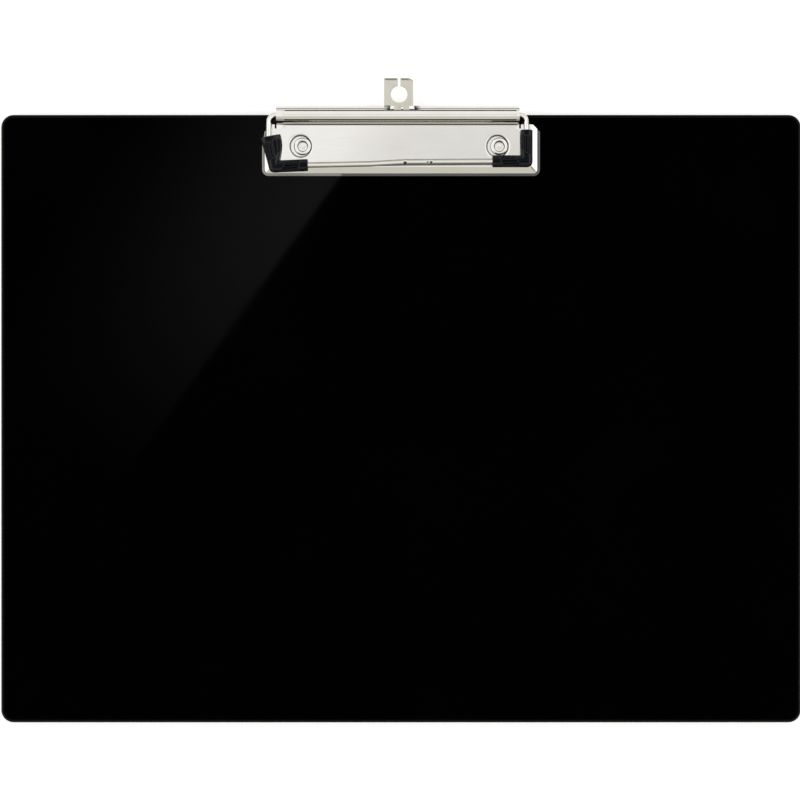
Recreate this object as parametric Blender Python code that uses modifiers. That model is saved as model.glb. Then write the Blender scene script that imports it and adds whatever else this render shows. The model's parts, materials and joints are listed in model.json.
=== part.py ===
"""Landscape clipboard with a low wire clip, rubber corner sleeves and a hanging tab.

Metres, +Z up. The origin is the centre of the board's underside. +X runs along the long edges
and +Y points to the long edge that carries the clip.

Three frames are used, each an empty that carries its pieces:
    clip_seat  on the board's top face, at the middle of the edge that carries the clip
    bail_axis  on the centre line of the clip's barrel, where the wire bail turns
    tab_axis   on the same line, where the hanging tab swings
"""

import math

import bmesh
import bpy
from mathutils import Matrix, Vector

MM = 0.001

# Clearance kept between pieces that touch on the real object.
GAP = 0.3 * MM

# Board.
BOARD_LENGTH = 317.5 * MM
BOARD_WIDTH = 241.3 * MM
BOARD_THICKNESS = 3.2 * MM
BOARD_CORNER_RADIUS = 5.0 * MM
BOARD_RIM_RADIUS = 0.8 * MM

# Base plate: an inverted tray of sheet metal. Heights are above the board's top face.
PLATE_SHEET = 0.7 * MM
PLATE_RAISE = 2.0 * MM
PLATE_HALF_LENGTH = 55.0 * MM
PLATE_FRONT = -24.3 * MM
PLATE_LIP = 1.1 * MM
PLATE_SLOPE = 2.4 * MM
PLATE_CORNER_RADIUS = 2.5 * MM
PLATE_FOOT = GAP
PLATE_LIP_TOP = PLATE_FOOT + PLATE_SHEET
PLATE_TOP = PLATE_FOOT + PLATE_RAISE
PLATE_UNDER = PLATE_TOP - PLATE_SHEET

# Barrel: the plate's rear edge rolled back, up and over. Its axis carries the bail and the tab.
BARREL_RADIUS = 3.6 * MM
BARREL_BORE = BARREL_RADIUS - PLATE_SHEET
BARREL_LEFT = -49.3 * MM
BARREL_RIGHT = 46.8 * MM
AXIS_Y = -0.4 * MM
AXIS_HEIGHT = PLATE_FOOT + BARREL_RADIUS
ROLL_START = math.radians(217.0)
ROLL_END = math.radians(557.0)

# Rear ends of the plate's sloped sides, beside the barrel, and the relief slits between them.
SHOULDER_Y = -4.1 * MM
SHOULDER_CHAMFER = 2.8 * MM
RELIEF_WIDTH = 0.7 * MM
RELIEF_LENGTH = 1.6 * MM

# Semi-tubular rivets: the hollow end is rolled over on top, and the head is solid underneath.
# Each stands in a dimple of the plate, and its head in a counterbore of the board.
RIVET_X = 39.0 * MM
RIVET_Y = -12.7 * MM
RIVET_BORE = 2.0 * MM
RIVET_BORE_DEPTH = 2.2 * MM
RIVET_SHANK = 2.45 * MM
RIVET_FLANGE = 3.5 * MM
RIVET_FLANGE_HEIGHT = 0.55 * MM
RIVET_EDGE = 0.3 * MM
RIVET_RECESS = 0.15 * MM
RIVET_HOLE = RIVET_SHANK + 0.35 * MM
DIMPLE_RIM = 4.5 * MM
DIMPLE_FLOOR = 3.9 * MM
DIMPLE_WALL = 0.6 * MM
COUNTERBORE_RADIUS = RIVET_FLANGE + 0.5 * MM
COUNTERBORE_DEPTH = 1.0 * MM

# Wire bail. Corners are (x, forward distance from the axis, bend radius).
WIRE_RADIUS = 1.1 * MM
WIRE_STEP = 3.0 * MM
BAIL_RISE = 1.1 * MM
BAIL_RISE_END = 6.0 * MM
CRANK_OFFSET = 0.5 * MM
CRANK_LEFT = 14.0 * MM
CRANK_RIGHT = 34.0 * MM
CRANK_RAMP = 2.0 * MM
LEFT_REAR = (-52.1 * MM, 0.0, 3.0 * MM)
LEFT_SLEEVE_RUN = (
    (-52.4 * MM, 8.7 * MM, 0.0),
    (-49.9 * MM, 20.6 * MM, 2.8 * MM),
    (-36.8 * MM, 20.0 * MM, 0.0),
)
FRONT_RUN = (
    (-12.0 * MM, 19.5 * MM, 30.0 * MM),
    (2.0 * MM, 18.7 * MM, 30.0 * MM),
)
RIGHT_SLEEVE_RUN = (
    (36.1 * MM, 18.5 * MM, 0.0),
    (49.6 * MM, 18.5 * MM, 2.8 * MM),
    (49.6 * MM, 6.1 * MM, 0.0),
)
RIGHT_REAR = (49.3 * MM, 0.0, 2.6 * MM)

# Corner sleeves.
SLEEVE_RADIUS = 2.4 * MM
SLEEVE_BORE = WIRE_RADIUS + GAP

# Leaf spring, drawn pressed flat, as it lies under the crank with the bail fully open.
LEAF_LEFT = 10.0 * MM
LEAF_RIGHT = 38.0 * MM
LEAF_WIDTH = 2.2 * MM
LEAF_SHEET = 0.3 * MM
LEAF_DROP = 2.05 * MM
LEAF_BOW = 0.15 * MM
LEAF_STEPS = 12

# Hanging tab. Distances along it are from the axis.
TAB_SHEET = 0.6 * MM
TAB_LEFT = -6.75 * MM
TAB_RIGHT = 4.9 * MM
TAB_END = 14.7 * MM
TAB_SHOULDER = 3.75 * MM
TAB_CHAMFER = 1.0 * MM
TAB_HOLE_X = -0.75 * MM
TAB_HOLE_Y = 8.2 * MM
TAB_HOLE_RADIUS = 3.25 * MM
TAB_SLOT = 0.9 * MM
NECK_LEFT = -2.8 * MM
NECK_RIGHT = 3.2 * MM
NECK_SLIT_LEFT = 0.0
NECK_SLIT_RIGHT = 0.9 * MM
KNUCKLE_RADIUS = WIRE_RADIUS + GAP + TAB_SHEET / 2.0
KNUCKLE_END = math.radians(-15.0)

# Notch in the rear of the barrel, which the tab's neck passes through.
NOTCH_FRONT = 1.4 * MM
NOTCH_REAR = 4.2 * MM
NOTCH_FRONT_X = (-5.2 * MM, 6.5 * MM)
NOTCH_REAR_X = (-3.6 * MM, 4.4 * MM)

# Facets.
CORNER_SEGMENTS = 8
RIM_SEGMENTS = 3
PRESSED_SEGMENTS = 4
ROUND_SEGMENTS = 32
ROLL_SEGMENTS = 40
KNUCKLE_SEGMENTS = 20
BEND_ANGLE = math.radians(15.0)
SHARP_ANGLE = math.radians(35.0)
WIRE_RESOLUTION = 4
SLEEVE_RESOLUTION = 6

RIM_ANGLE = math.radians(60.0)

# Room that a cutter has past the face it cuts through, and how far a joined edge runs inside
# the piece that it joins.
PAST = 2.0 * MM
OVERLAP = 0.05 * MM

# Points nearer than this are one point.
MERGE = 0.001 * MM


# ---------------------------------------------------------------- scene and small helpers


def clear_scene():
    """Remove every object that the file opens with."""
    for item in list(bpy.data.objects):
        bpy.data.objects.remove(item, do_unlink=True)


def new_collection(name):
    """Make a collection in the scene."""
    collection = bpy.data.collections.new(name)
    bpy.context.scene.collection.children.link(collection)
    return collection


def new_material(name, colour, roughness, metallic):
    """Make a Principled BSDF material from a linear colour."""
    material = bpy.data.materials.new(name)
    material.use_nodes = True
    shader = material.node_tree.nodes["Principled BSDF"]
    shader.inputs["Base Color"].default_value = (*colour, 1.0)
    shader.inputs["Roughness"].default_value = roughness
    shader.inputs["Metallic"].default_value = metallic
    return material


def new_empty(name, location, parent, collection):
    """Make an empty that carries other objects."""
    empty = bpy.data.objects.new(name, None)
    empty.location = location
    empty.parent = parent
    empty.empty_display_size = 10.0 * MM
    collection.objects.link(empty)
    return empty


def new_part(name, mesh, parent, material):
    """Put a mesh or curve in the parts collection, on its parent's frame."""
    part = bpy.data.objects.new(name, mesh)
    part.parent = parent
    mesh.materials.append(material)
    PARTS.objects.link(part)
    return part


def new_cutter(name, mesh, parent):
    """Put a mesh in the cutters collection, hidden from renders."""
    cutter = bpy.data.objects.new(name, mesh)
    cutter.parent = parent
    cutter.hide_render = True
    cutter.display_type = "WIRE"
    CUTTERS.objects.link(cutter)
    return cutter


def finish_mesh(name, shape):
    """Turn a bmesh into a smooth mesh with its sharp edges kept."""
    bmesh.ops.recalc_face_normals(shape, faces=shape.faces)
    mesh = bpy.data.meshes.new(name)
    shape.to_mesh(mesh)
    shape.free()
    mesh.shade_smooth()
    mesh.set_sharp_from_angle(angle=SHARP_ANGLE)
    return mesh


def join_shape(target, tool, operation):
    """Add a Boolean modifier to target."""
    modifier = target.modifiers.new(f"{operation.lower()}_{tool.name}", "BOOLEAN")
    modifier.operation = operation
    modifier.solver = "EXACT"
    modifier.object = tool


def box_mesh(name, low, high):
    """A box between two corners."""
    shape = bmesh.new()
    bmesh.ops.create_cube(shape, size=1.0)
    size = Vector(high) - Vector(low)
    middle = (Vector(high) + Vector(low)) / 2.0
    bmesh.ops.scale(shape, vec=size, verts=shape.verts)
    bmesh.ops.translate(shape, vec=middle, verts=shape.verts)
    return finish_mesh(name, shape)


def cone_mesh(name, centre, low_radius, high_radius, low, high):
    """A cone or cylinder that stands on the heights low and high."""
    shape = bmesh.new()
    place = Matrix.Translation((centre[0], centre[1], (low + high) / 2.0))
    bmesh.ops.create_cone(
        shape,
        cap_ends=True,
        segments=ROUND_SEGMENTS,
        radius1=low_radius,
        radius2=high_radius,
        depth=high - low,
        matrix=place,
    )
    return finish_mesh(name, shape)


def prism_mesh(name, outline, low, high):
    """A flat outline as a filled 2D curve, extruded between two heights."""
    curve = bpy.data.curves.new(name, "CURVE")
    curve.dimensions = "2D"
    curve.fill_mode = "BOTH"
    curve.extrude = (high - low) / 2.0
    spline = curve.splines.new("POLY")
    spline.points.add(len(outline) - 1)
    for point, (x, y) in zip(spline.points, outline):
        point.co = (x, y, 0.0, 1.0)
    spline.use_cyclic_u = True
    mesh = curve_to_mesh(name, curve)
    mesh.transform(Matrix.Translation((0.0, 0.0, (low + high) / 2.0)))
    return mesh


def curve_to_mesh(name, curve):
    """Evaluate a curve as one welded mesh and remove the curve."""
    guide = bpy.data.objects.new(name, curve)
    CUTTERS.objects.link(guide)
    bpy.context.view_layer.update()
    evaluated = guide.evaluated_get(bpy.context.evaluated_depsgraph_get())
    mesh = bpy.data.meshes.new_from_object(evaluated)
    bpy.data.objects.remove(guide, do_unlink=True)
    shape = bmesh.new()
    shape.from_mesh(mesh)
    bmesh.ops.remove_doubles(shape, verts=shape.verts, dist=MERGE)
    bpy.data.meshes.remove(mesh)
    return finish_mesh(name, shape)


def tube_curve(name, points, radius, resolution, closed):
    """A round tube along a list of points, with filled ends if it is open."""
    curve = bpy.data.curves.new(name, "CURVE")
    curve.dimensions = "3D"
    curve.bevel_depth = radius
    curve.bevel_resolution = resolution
    curve.use_fill_caps = not closed
    spline = curve.splines.new("POLY")
    spline.points.add(len(points) - 1)
    for point, place in zip(spline.points, points):
        point.co = (*place, 1.0)
    spline.use_cyclic_u = closed
    spline.use_smooth = True
    return curve


def sheet_part(name, profile, sweep, thickness, parent, material):
    """A sheet-metal piece: an open profile swept along a vector and given its thickness."""
    shape = bmesh.new()
    corners = [shape.verts.new(place) for place in profile]
    edges = [shape.edges.new(pair) for pair in zip(corners, corners[1:])]
    swept = bmesh.ops.extrude_edge_only(shape, edges=edges)["geom"]
    moved = [item for item in swept if isinstance(item, bmesh.types.BMVert)]
    bmesh.ops.translate(shape, vec=sweep, verts=moved)
    part = new_part(name, finish_mesh(name, shape), parent, material)
    solidify = part.modifiers.new("sheet", "SOLIDIFY")
    solidify.thickness = thickness
    solidify.offset = 0.0
    solidify.use_even_offset = True
    return part


def turned_part(name, profile, location, parent, material):
    """A turned piece: a (radius, height) profile down its outer side, from axis to axis."""
    shape = bmesh.new()
    corners = [shape.verts.new((radius, 0.0, height)) for radius, height in profile]
    for pair in zip(corners, corners[1:]):
        shape.edges.new(pair)
    mesh = bpy.data.meshes.new(name)
    shape.to_mesh(mesh)
    shape.free()
    part = new_part(name, mesh, parent, material)
    part.location = location
    screw = part.modifiers.new("turn", "SCREW")
    screw.axis = "Z"
    screw.steps = ROUND_SEGMENTS
    screw.render_steps = ROUND_SEGMENTS
    screw.use_merge_vertices = True
    screw.merge_threshold = MERGE
    screw.use_smooth_shade = True
    return part


# ---------------------------------------------------------------- the wire's path


def bend(before, corner, after, radius):
    """Points of the round bend at a corner, from one tangent point to the other."""
    arrive = (corner - before).normalized()
    leave = (after - corner).normalized()
    turn = arrive.angle(leave)
    if radius == 0.0:
        return [corner]
    side = 1.0 if arrive.cross(leave) > 0.0 else -1.0
    start = corner - arrive * radius * math.tan(turn / 2.0)
    centre = start + side * radius * Vector((-arrive.y, arrive.x))
    count = max(2, math.ceil(turn / BEND_ANGLE))
    arm = start - centre
    points = []
    for index in range(count + 1):
        angle = side * turn * index / count
        points.append(centre + Matrix.Rotation(angle, 2) @ arm)
    return points


def rise(forward):
    """How far the wire has climbed above the axis at a distance forward of it."""
    share = min(max(forward / BAIL_RISE_END, 0.0), 1.0)
    return BAIL_RISE * share * share * (3.0 - 2.0 * share)


def wire_path(corners, closed):
    """Points along the wire, on the axis frame, from its (x, forward, bend radius) corners."""
    places = [Vector((x, forward)) for x, forward, radius in corners]
    flat = []
    for index, (x, forward, radius) in enumerate(corners):
        at_end = not closed and index in (0, len(corners) - 1)
        if at_end:
            flat.append(places[index])
            continue
        after = places[(index + 1) % len(places)]
        flat.extend(bend(places[index - 1], places[index], after, radius))
    if closed:
        flat.append(flat[0])
    path = []
    for start, end in zip(flat, flat[1:]):
        count = max(1, round((end - start).length / WIRE_STEP))
        path.extend(start.lerp(end, index / count) for index in range(count))
    if not closed:
        path.append(flat[-1])
    return [(point.x, -point.y, rise(point.y)) for point in path]


def crank_corners():
    """The shallow crank in the wire's rear run, from its right end to its left end."""
    return (
        (CRANK_RIGHT + CRANK_RAMP, 0.0, 0.0),
        (CRANK_RIGHT, -CRANK_OFFSET, 0.0),
        (CRANK_LEFT, -CRANK_OFFSET, 0.0),
        (CRANK_LEFT - CRANK_RAMP, 0.0, 0.0),
    )


# ---------------------------------------------------------------- cutters that two pieces share


def rivet_hole(side, x):
    """The hole through plate and board for one rivet."""
    name = f"rivet_hole_{side}"
    low = -BOARD_THICKNESS - PAST
    mesh = cone_mesh(name, (x, RIVET_Y), RIVET_HOLE, RIVET_HOLE, low, PLATE_TOP + PAST)
    return new_cutter(name, mesh, CLIP_SEAT)


# ---------------------------------------------------------------- the pieces


def build_board():
    """The board: a slab with round corners and a softened rim."""
    shape = bmesh.new()
    bmesh.ops.create_cube(shape, size=1.0)
    bmesh.ops.scale(shape, vec=(BOARD_LENGTH, BOARD_WIDTH, BOARD_THICKNESS), verts=shape.verts)
    round_uprights(shape, BOARD_CORNER_RADIUS, CORNER_SEGMENTS)
    board = new_part("board", finish_mesh("board", shape), None, BLACK_PLASTIC)
    board.location.z = BOARD_THICKNESS / 2.0
    rim = board.modifiers.new("rim", "BEVEL")
    rim.width = BOARD_RIM_RADIUS
    rim.segments = RIM_SEGMENTS
    rim.limit_method = "ANGLE"
    rim.angle_limit = RIM_ANGLE
    for hole in RIVET_HOLES:
        join_shape(board, hole, "DIFFERENCE")
    for side, x in SIDES:
        name = f"counterbore_{side}"
        low = -BOARD_THICKNESS - PAST
        high = -BOARD_THICKNESS + COUNTERBORE_DEPTH
        radius = COUNTERBORE_RADIUS
        mesh = cone_mesh(name, (x, RIVET_Y), radius, radius, low, high)
        join_shape(board, new_cutter(name, mesh, CLIP_SEAT), "DIFFERENCE")
    return board


def round_uprights(shape, radius, segments):
    """Round the edges of a block that rise from its base."""
    uprights = [edge for edge in shape.edges if edge.verts[0].co.z * edge.verts[1].co.z < 0.0]
    bmesh.ops.bevel(
        shape,
        geom=uprights,
        offset=radius,
        offset_type="OFFSET",
        segments=segments,
        profile=0.5,
        affect="EDGES",
    )


def pressed_block_mesh(name, half_length, front, low, high, slope, radius):
    """A block whose top is drawn in by slope on each side, as a press leaves it.

    It runs back past the barrel, where another cut ends it.
    """
    rear = BARREL_RADIUS + PAST
    shape = bmesh.new()
    bmesh.ops.create_cube(shape, size=1.0)
    size = (2.0 * half_length, rear - front, high - low)
    bmesh.ops.scale(shape, vec=size, verts=shape.verts)
    for corner in shape.verts:
        if corner.co.z > 0.0:
            corner.co.x -= math.copysign(slope, corner.co.x)
            corner.co.y -= math.copysign(slope, corner.co.y)
    round_uprights(shape, radius, PRESSED_SEGMENTS)
    middle = (0.0, (rear + front) / 2.0, (low + high) / 2.0)
    bmesh.ops.translate(shape, vec=middle, verts=shape.verts)
    return finish_mesh(name, shape)


def build_base_plate():
    """The plate: lip and raised tray, hollow beneath, dimpled, with its rear rolled up."""
    lip_mesh = pressed_block_mesh(
        "base_plate",
        PLATE_HALF_LENGTH,
        PLATE_FRONT,
        PLATE_FOOT,
        PLATE_LIP_TOP,
        0.0,
        PLATE_CORNER_RADIUS,
    )
    plate = new_part("base_plate", lip_mesh, CLIP_SEAT, NICKEL)

    gradient = PLATE_SLOPE / (PLATE_TOP - PLATE_LIP_TOP)
    slope_angle = math.atan2(PLATE_TOP - PLATE_LIP_TOP, PLATE_SLOPE)
    foot_low = PLATE_FOOT + PLATE_SHEET / 2.0
    foot_half = PLATE_HALF_LENGTH - PLATE_LIP
    foot_front = PLATE_FRONT + PLATE_LIP
    foot_extra = gradient * (PLATE_LIP_TOP - foot_low)
    tray_mesh = pressed_block_mesh(
        "tray",
        foot_half + foot_extra,
        foot_front - foot_extra,
        foot_low,
        PLATE_TOP,
        PLATE_SLOPE + foot_extra,
        PLATE_CORNER_RADIUS,
    )
    join_shape(plate, new_cutter("tray", tray_mesh, CLIP_SEAT), "UNION")

    inner = PLATE_SHEET * math.tan(slope_angle / 2.0)
    hollow_low = PLATE_FOOT - PAST
    hollow_extra = gradient * PAST
    hollow_mesh = pressed_block_mesh(
        "hollow",
        foot_half - inner + hollow_extra,
        foot_front + inner - hollow_extra,
        hollow_low,
        PLATE_UNDER,
        gradient * (PLATE_UNDER - hollow_low),
        PLATE_CORNER_RADIUS,
    )
    hollow = new_cutter("hollow", hollow_mesh, CLIP_SEAT)
    for side, x in SIDES:
        name = f"dimple_post_{side}"
        low_radius = DIMPLE_FLOOR + DIMPLE_WALL
        high_radius = DIMPLE_RIM + DIMPLE_WALL
        centre = (x, RIVET_Y)
        mesh = cone_mesh(name, centre, low_radius, high_radius, PLATE_FOOT, PLATE_TOP)
        join_shape(hollow, new_cutter(name, mesh, CLIP_SEAT), "DIFFERENCE")
    join_shape(plate, hollow, "DIFFERENCE")

    for side, x in SIDES:
        name = f"dimple_{side}"
        steepness = (DIMPLE_RIM - DIMPLE_FLOOR) / (PLATE_TOP - PLATE_LIP_TOP)
        high = PLATE_TOP + PAST
        high_radius = DIMPLE_RIM + steepness * PAST
        mesh = cone_mesh(name, (x, RIVET_Y), DIMPLE_FLOOR, high_radius, PLATE_LIP_TOP, high)
        join_shape(plate, new_cutter(name, mesh, CLIP_SEAT), "DIFFERENCE")
    for hole in RIVET_HOLES:
        join_shape(plate, hole, "DIFFERENCE")

    rear = prism_mesh("plate_rear", plate_rear_outline(), PLATE_FOOT - PAST, PLATE_TOP + PAST)
    join_shape(plate, new_cutter("plate_rear", rear, CLIP_SEAT), "DIFFERENCE")
    join_shape(plate, build_barrel(), "UNION")
    notch = prism_mesh("notch", notch_outline(), notch_low(), AXIS_HEIGHT + BARREL_RADIUS + PAST)
    join_shape(plate, new_cutter("notch", notch, CLIP_SEAT), "DIFFERENCE")
    return plate


def plate_rear_outline():
    """What is cut from the plate's rear: back to the barrel, and behind each sloped side."""
    joint = AXIS_Y + BARREL_BORE * math.cos(ROLL_START) + OVERLAP
    side = PLATE_HALF_LENGTH + PAST
    rear = BARREL_RADIUS + 2.0 * PAST
    relief_y = SHOULDER_Y - RELIEF_LENGTH
    chamfer_y = SHOULDER_Y - SHOULDER_CHAMFER
    chamfer_x = PLATE_HALF_LENGTH - SHOULDER_CHAMFER
    return (
        (-side, chamfer_y),
        (-PLATE_HALF_LENGTH, chamfer_y),
        (-chamfer_x, SHOULDER_Y),
        (BARREL_LEFT - RELIEF_WIDTH, SHOULDER_Y),
        (BARREL_LEFT - RELIEF_WIDTH, relief_y),
        (BARREL_LEFT, relief_y),
        (BARREL_LEFT, joint),
        (BARREL_RIGHT, joint),
        (BARREL_RIGHT, relief_y),
        (BARREL_RIGHT + RELIEF_WIDTH, relief_y),
        (BARREL_RIGHT + RELIEF_WIDTH, SHOULDER_Y),
        (chamfer_x, SHOULDER_Y),
        (PLATE_HALF_LENGTH, chamfer_y),
        (side, chamfer_y),
        (side, rear),
        (-side, rear),
    )


def notch_outline():
    """The notch, wide at the top of the barrel and narrower at its rear."""
    return (
        (NOTCH_FRONT_X[0], AXIS_Y + NOTCH_FRONT),
        (NOTCH_FRONT_X[1], AXIS_Y + NOTCH_FRONT),
        (NOTCH_REAR_X[1], AXIS_Y + NOTCH_REAR),
        (NOTCH_REAR_X[0], AXIS_Y + NOTCH_REAR),
    )


def notch_low():
    """The notch's lower edge, on which the tab's neck rests."""
    return AXIS_HEIGHT - KNUCKLE_RADIUS - TAB_SHEET / 2.0 - GAP


def build_barrel():
    """The rolled barrel, as a tool that is joined to the plate."""
    middle = BARREL_RADIUS - PLATE_SHEET / 2.0
    profile = []
    for index in range(ROLL_SEGMENTS + 1):
        angle = ROLL_START + (ROLL_END - ROLL_START) * index / ROLL_SEGMENTS
        y = AXIS_Y + middle * math.cos(angle)
        profile.append((BARREL_LEFT, y, AXIS_HEIGHT + middle * math.sin(angle)))
    sweep = (BARREL_RIGHT - BARREL_LEFT, 0.0, 0.0)
    barrel = sheet_part("barrel_roll", profile, sweep, PLATE_SHEET, CLIP_SEAT, NICKEL)
    PARTS.objects.unlink(barrel)
    CUTTERS.objects.link(barrel)
    barrel.hide_render = True
    barrel.display_type = "WIRE"
    return barrel


def build_rivet(side, x):
    """A semi-tubular rivet: rolled flange and blind bore on top, solid head underneath."""
    top = PLATE_LIP_TOP + GAP
    crown = top + RIVET_FLANGE_HEIGHT
    low = -BOARD_THICKNESS + RIVET_RECESS
    ledge = low + RIVET_FLANGE_HEIGHT
    profile = (
        (0.0, crown - RIVET_BORE_DEPTH),
        (RIVET_BORE, crown - RIVET_BORE_DEPTH),
        (RIVET_BORE, crown - RIVET_EDGE),
        (RIVET_BORE + RIVET_EDGE, crown),
        (RIVET_FLANGE - 2.0 * RIVET_EDGE, crown),
        (RIVET_FLANGE, crown - RIVET_EDGE),
        (RIVET_FLANGE, top),
        (RIVET_SHANK, top),
        (RIVET_SHANK, ledge),
        (RIVET_FLANGE, ledge),
        (RIVET_FLANGE, low + RIVET_EDGE),
        (RIVET_FLANGE - RIVET_EDGE, low),
        (0.0, low),
    )
    return turned_part(f"rivet_{side}", profile, (x, RIVET_Y, 0.0), CLIP_SEAT, NICKEL)


def build_leaf_spring():
    """The flat spring in the barrel, under the wire's crank."""
    profile = []
    for index in range(LEAF_STEPS + 1):
        share = index / LEAF_STEPS
        x = LEAF_LEFT + (LEAF_RIGHT - LEAF_LEFT) * share
        sag = LEAF_BOW * (2.0 * share - 1.0) ** 2
        profile.append((x, LEAF_WIDTH / 2.0, -LEAF_DROP - sag))
    sweep = (0.0, -LEAF_WIDTH, 0.0)
    spring = sheet_part("leaf_spring", profile, sweep, LEAF_SHEET, CLIP_SEAT, SPRING_STEEL)
    spring.location = (0.0, AXIS_Y, AXIS_HEIGHT)
    return spring


def build_wire_bail():
    """The closed loop of wire, its rear run through the barrel."""
    corners = (
        LEFT_REAR,
        *LEFT_SLEEVE_RUN,
        *FRONT_RUN,
        *RIGHT_SLEEVE_RUN,
        RIGHT_REAR,
        *crank_corners(),
    )
    path = wire_path(corners, closed=True)
    curve = tube_curve("wire_bail", path, WIRE_RADIUS, WIRE_RESOLUTION, closed=True)
    return new_part("wire_bail", curve, BAIL_AXIS, NICKEL)


def build_corner_sleeve(side, run):
    """A rubber sleeve, bored for the wire, over one corner of the bail."""
    name = f"corner_sleeve_{side}"
    path = wire_path(run, closed=False)
    skin = tube_curve(name, path, SLEEVE_RADIUS, SLEEVE_RESOLUTION, closed=False)
    sleeve = new_part(name, curve_to_mesh(name, skin), BAIL_AXIS, RUBBER)
    first = Vector(path[0]) + (Vector(path[0]) - Vector(path[1])).normalized() * PAST
    last = Vector(path[-1]) + (Vector(path[-1]) - Vector(path[-2])).normalized() * PAST
    bore_path = [first, *path, last]
    bore_name = f"sleeve_bore_{side}"
    bore = tube_curve(bore_name, bore_path, SLEEVE_BORE, SLEEVE_RESOLUTION, closed=False)
    cutter = new_cutter(bore_name, curve_to_mesh(bore_name, bore), BAIL_AXIS)
    join_shape(sleeve, cutter, "DIFFERENCE")
    return sleeve


def build_hanging_tab():
    """The tab: a strip curled round the wire at one end, with a keyhole in the other."""
    profile = [(TAB_LEFT, TAB_END, -KNUCKLE_RADIUS)]
    start = -math.pi / 2.0
    end = KNUCKLE_END - 2.0 * math.pi
    for index in range(KNUCKLE_SEGMENTS + 1):
        angle = start + (end - start) * index / KNUCKLE_SEGMENTS
        y = KNUCKLE_RADIUS * math.cos(angle)
        profile.append((TAB_LEFT, y, KNUCKLE_RADIUS * math.sin(angle)))
    sweep = (TAB_RIGHT - TAB_LEFT, 0.0, 0.0)
    tab = sheet_part("hanging_tab", profile, sweep, TAB_SHEET, TAB_AXIS, NICKEL)

    reach = BARREL_BORE
    cuts = {
        "neck_left": (TAB_LEFT - PAST, NECK_LEFT, -reach, TAB_SHOULDER),
        "neck_right": (NECK_RIGHT, TAB_RIGHT + PAST, -reach, TAB_SHOULDER),
        "neck_slit": (NECK_SLIT_LEFT, NECK_SLIT_RIGHT, -reach, TAB_SHOULDER - 2.0 * GAP),
        "tab_slot": (
            TAB_HOLE_X - TAB_SLOT / 2.0,
            TAB_HOLE_X + TAB_SLOT / 2.0,
            TAB_HOLE_Y,
            TAB_END + PAST,
        ),
    }
    for name, (left, right, front, rear) in cuts.items():
        mesh = box_mesh(name, (left, front, -reach), (right, rear, reach))
        join_shape(tab, new_cutter(name, mesh, TAB_AXIS), "DIFFERENCE")
    centre = (TAB_HOLE_X, TAB_HOLE_Y)
    hole = cone_mesh("tab_hole", centre, TAB_HOLE_RADIUS, TAB_HOLE_RADIUS, -reach, 0.0)
    join_shape(tab, new_cutter("tab_hole", hole, TAB_AXIS), "DIFFERENCE")
    corner = (
        (TAB_RIGHT - TAB_CHAMFER, TAB_END + GAP),
        (TAB_RIGHT + GAP, TAB_END - TAB_CHAMFER),
        (TAB_RIGHT + PAST, TAB_END + PAST),
    )
    chamfer = prism_mesh("tab_corner", corner, -reach, 0.0)
    join_shape(tab, new_cutter("tab_corner", chamfer, TAB_AXIS), "DIFFERENCE")
    return tab


# ---------------------------------------------------------------- assembly

clear_scene()
PARTS = new_collection("clipboard")
CUTTERS = new_collection("cutters")

BLACK_PLASTIC = new_material("glossy_black_plastic", (0.004, 0.004, 0.005), 0.08, 0.0)
NICKEL = new_material("nickel_plated_steel", (0.66, 0.63, 0.58), 0.2, 1.0)
SPRING_STEEL = new_material("blued_spring_steel", (0.18, 0.18, 0.2), 0.35, 1.0)
RUBBER = new_material("navy_black_rubber", (0.008, 0.010, 0.018), 0.45, 0.0)

SIDES = (("left", -RIVET_X), ("right", RIVET_X))

CLIP_SEAT = new_empty("clip_seat", (0.0, BOARD_WIDTH / 2.0, BOARD_THICKNESS), None, PARTS)
BAIL_AXIS = new_empty("bail_axis", (0.0, AXIS_Y, AXIS_HEIGHT), CLIP_SEAT, PARTS)
TAB_AXIS = new_empty("tab_axis", (0.0, AXIS_Y, AXIS_HEIGHT), CLIP_SEAT, PARTS)

RIVET_HOLES = [rivet_hole(side, x) for side, x in SIDES]

build_board()
build_base_plate()
for SIDE, RIVET_CENTRE in SIDES:
    build_rivet(SIDE, RIVET_CENTRE)
build_leaf_spring()
build_wire_bail()
build_corner_sleeve("left", LEFT_SLEEVE_RUN)
build_corner_sleeve("right", RIGHT_SLEEVE_RUN)
build_hanging_tab()
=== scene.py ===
"""Looks of a landscape clipboard with a low wire clip.

Each visible piece is a surface worked out on a grid of points, and its class holds its sizes in
millimetres. The clip's own frame has its origin on the board's top face, at the middle of the
rear edge: x to the right, y to the rear, z up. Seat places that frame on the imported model.
"""

import json
import logging
import math
from dataclasses import dataclass
from enum import Enum
from typing import Any

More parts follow.
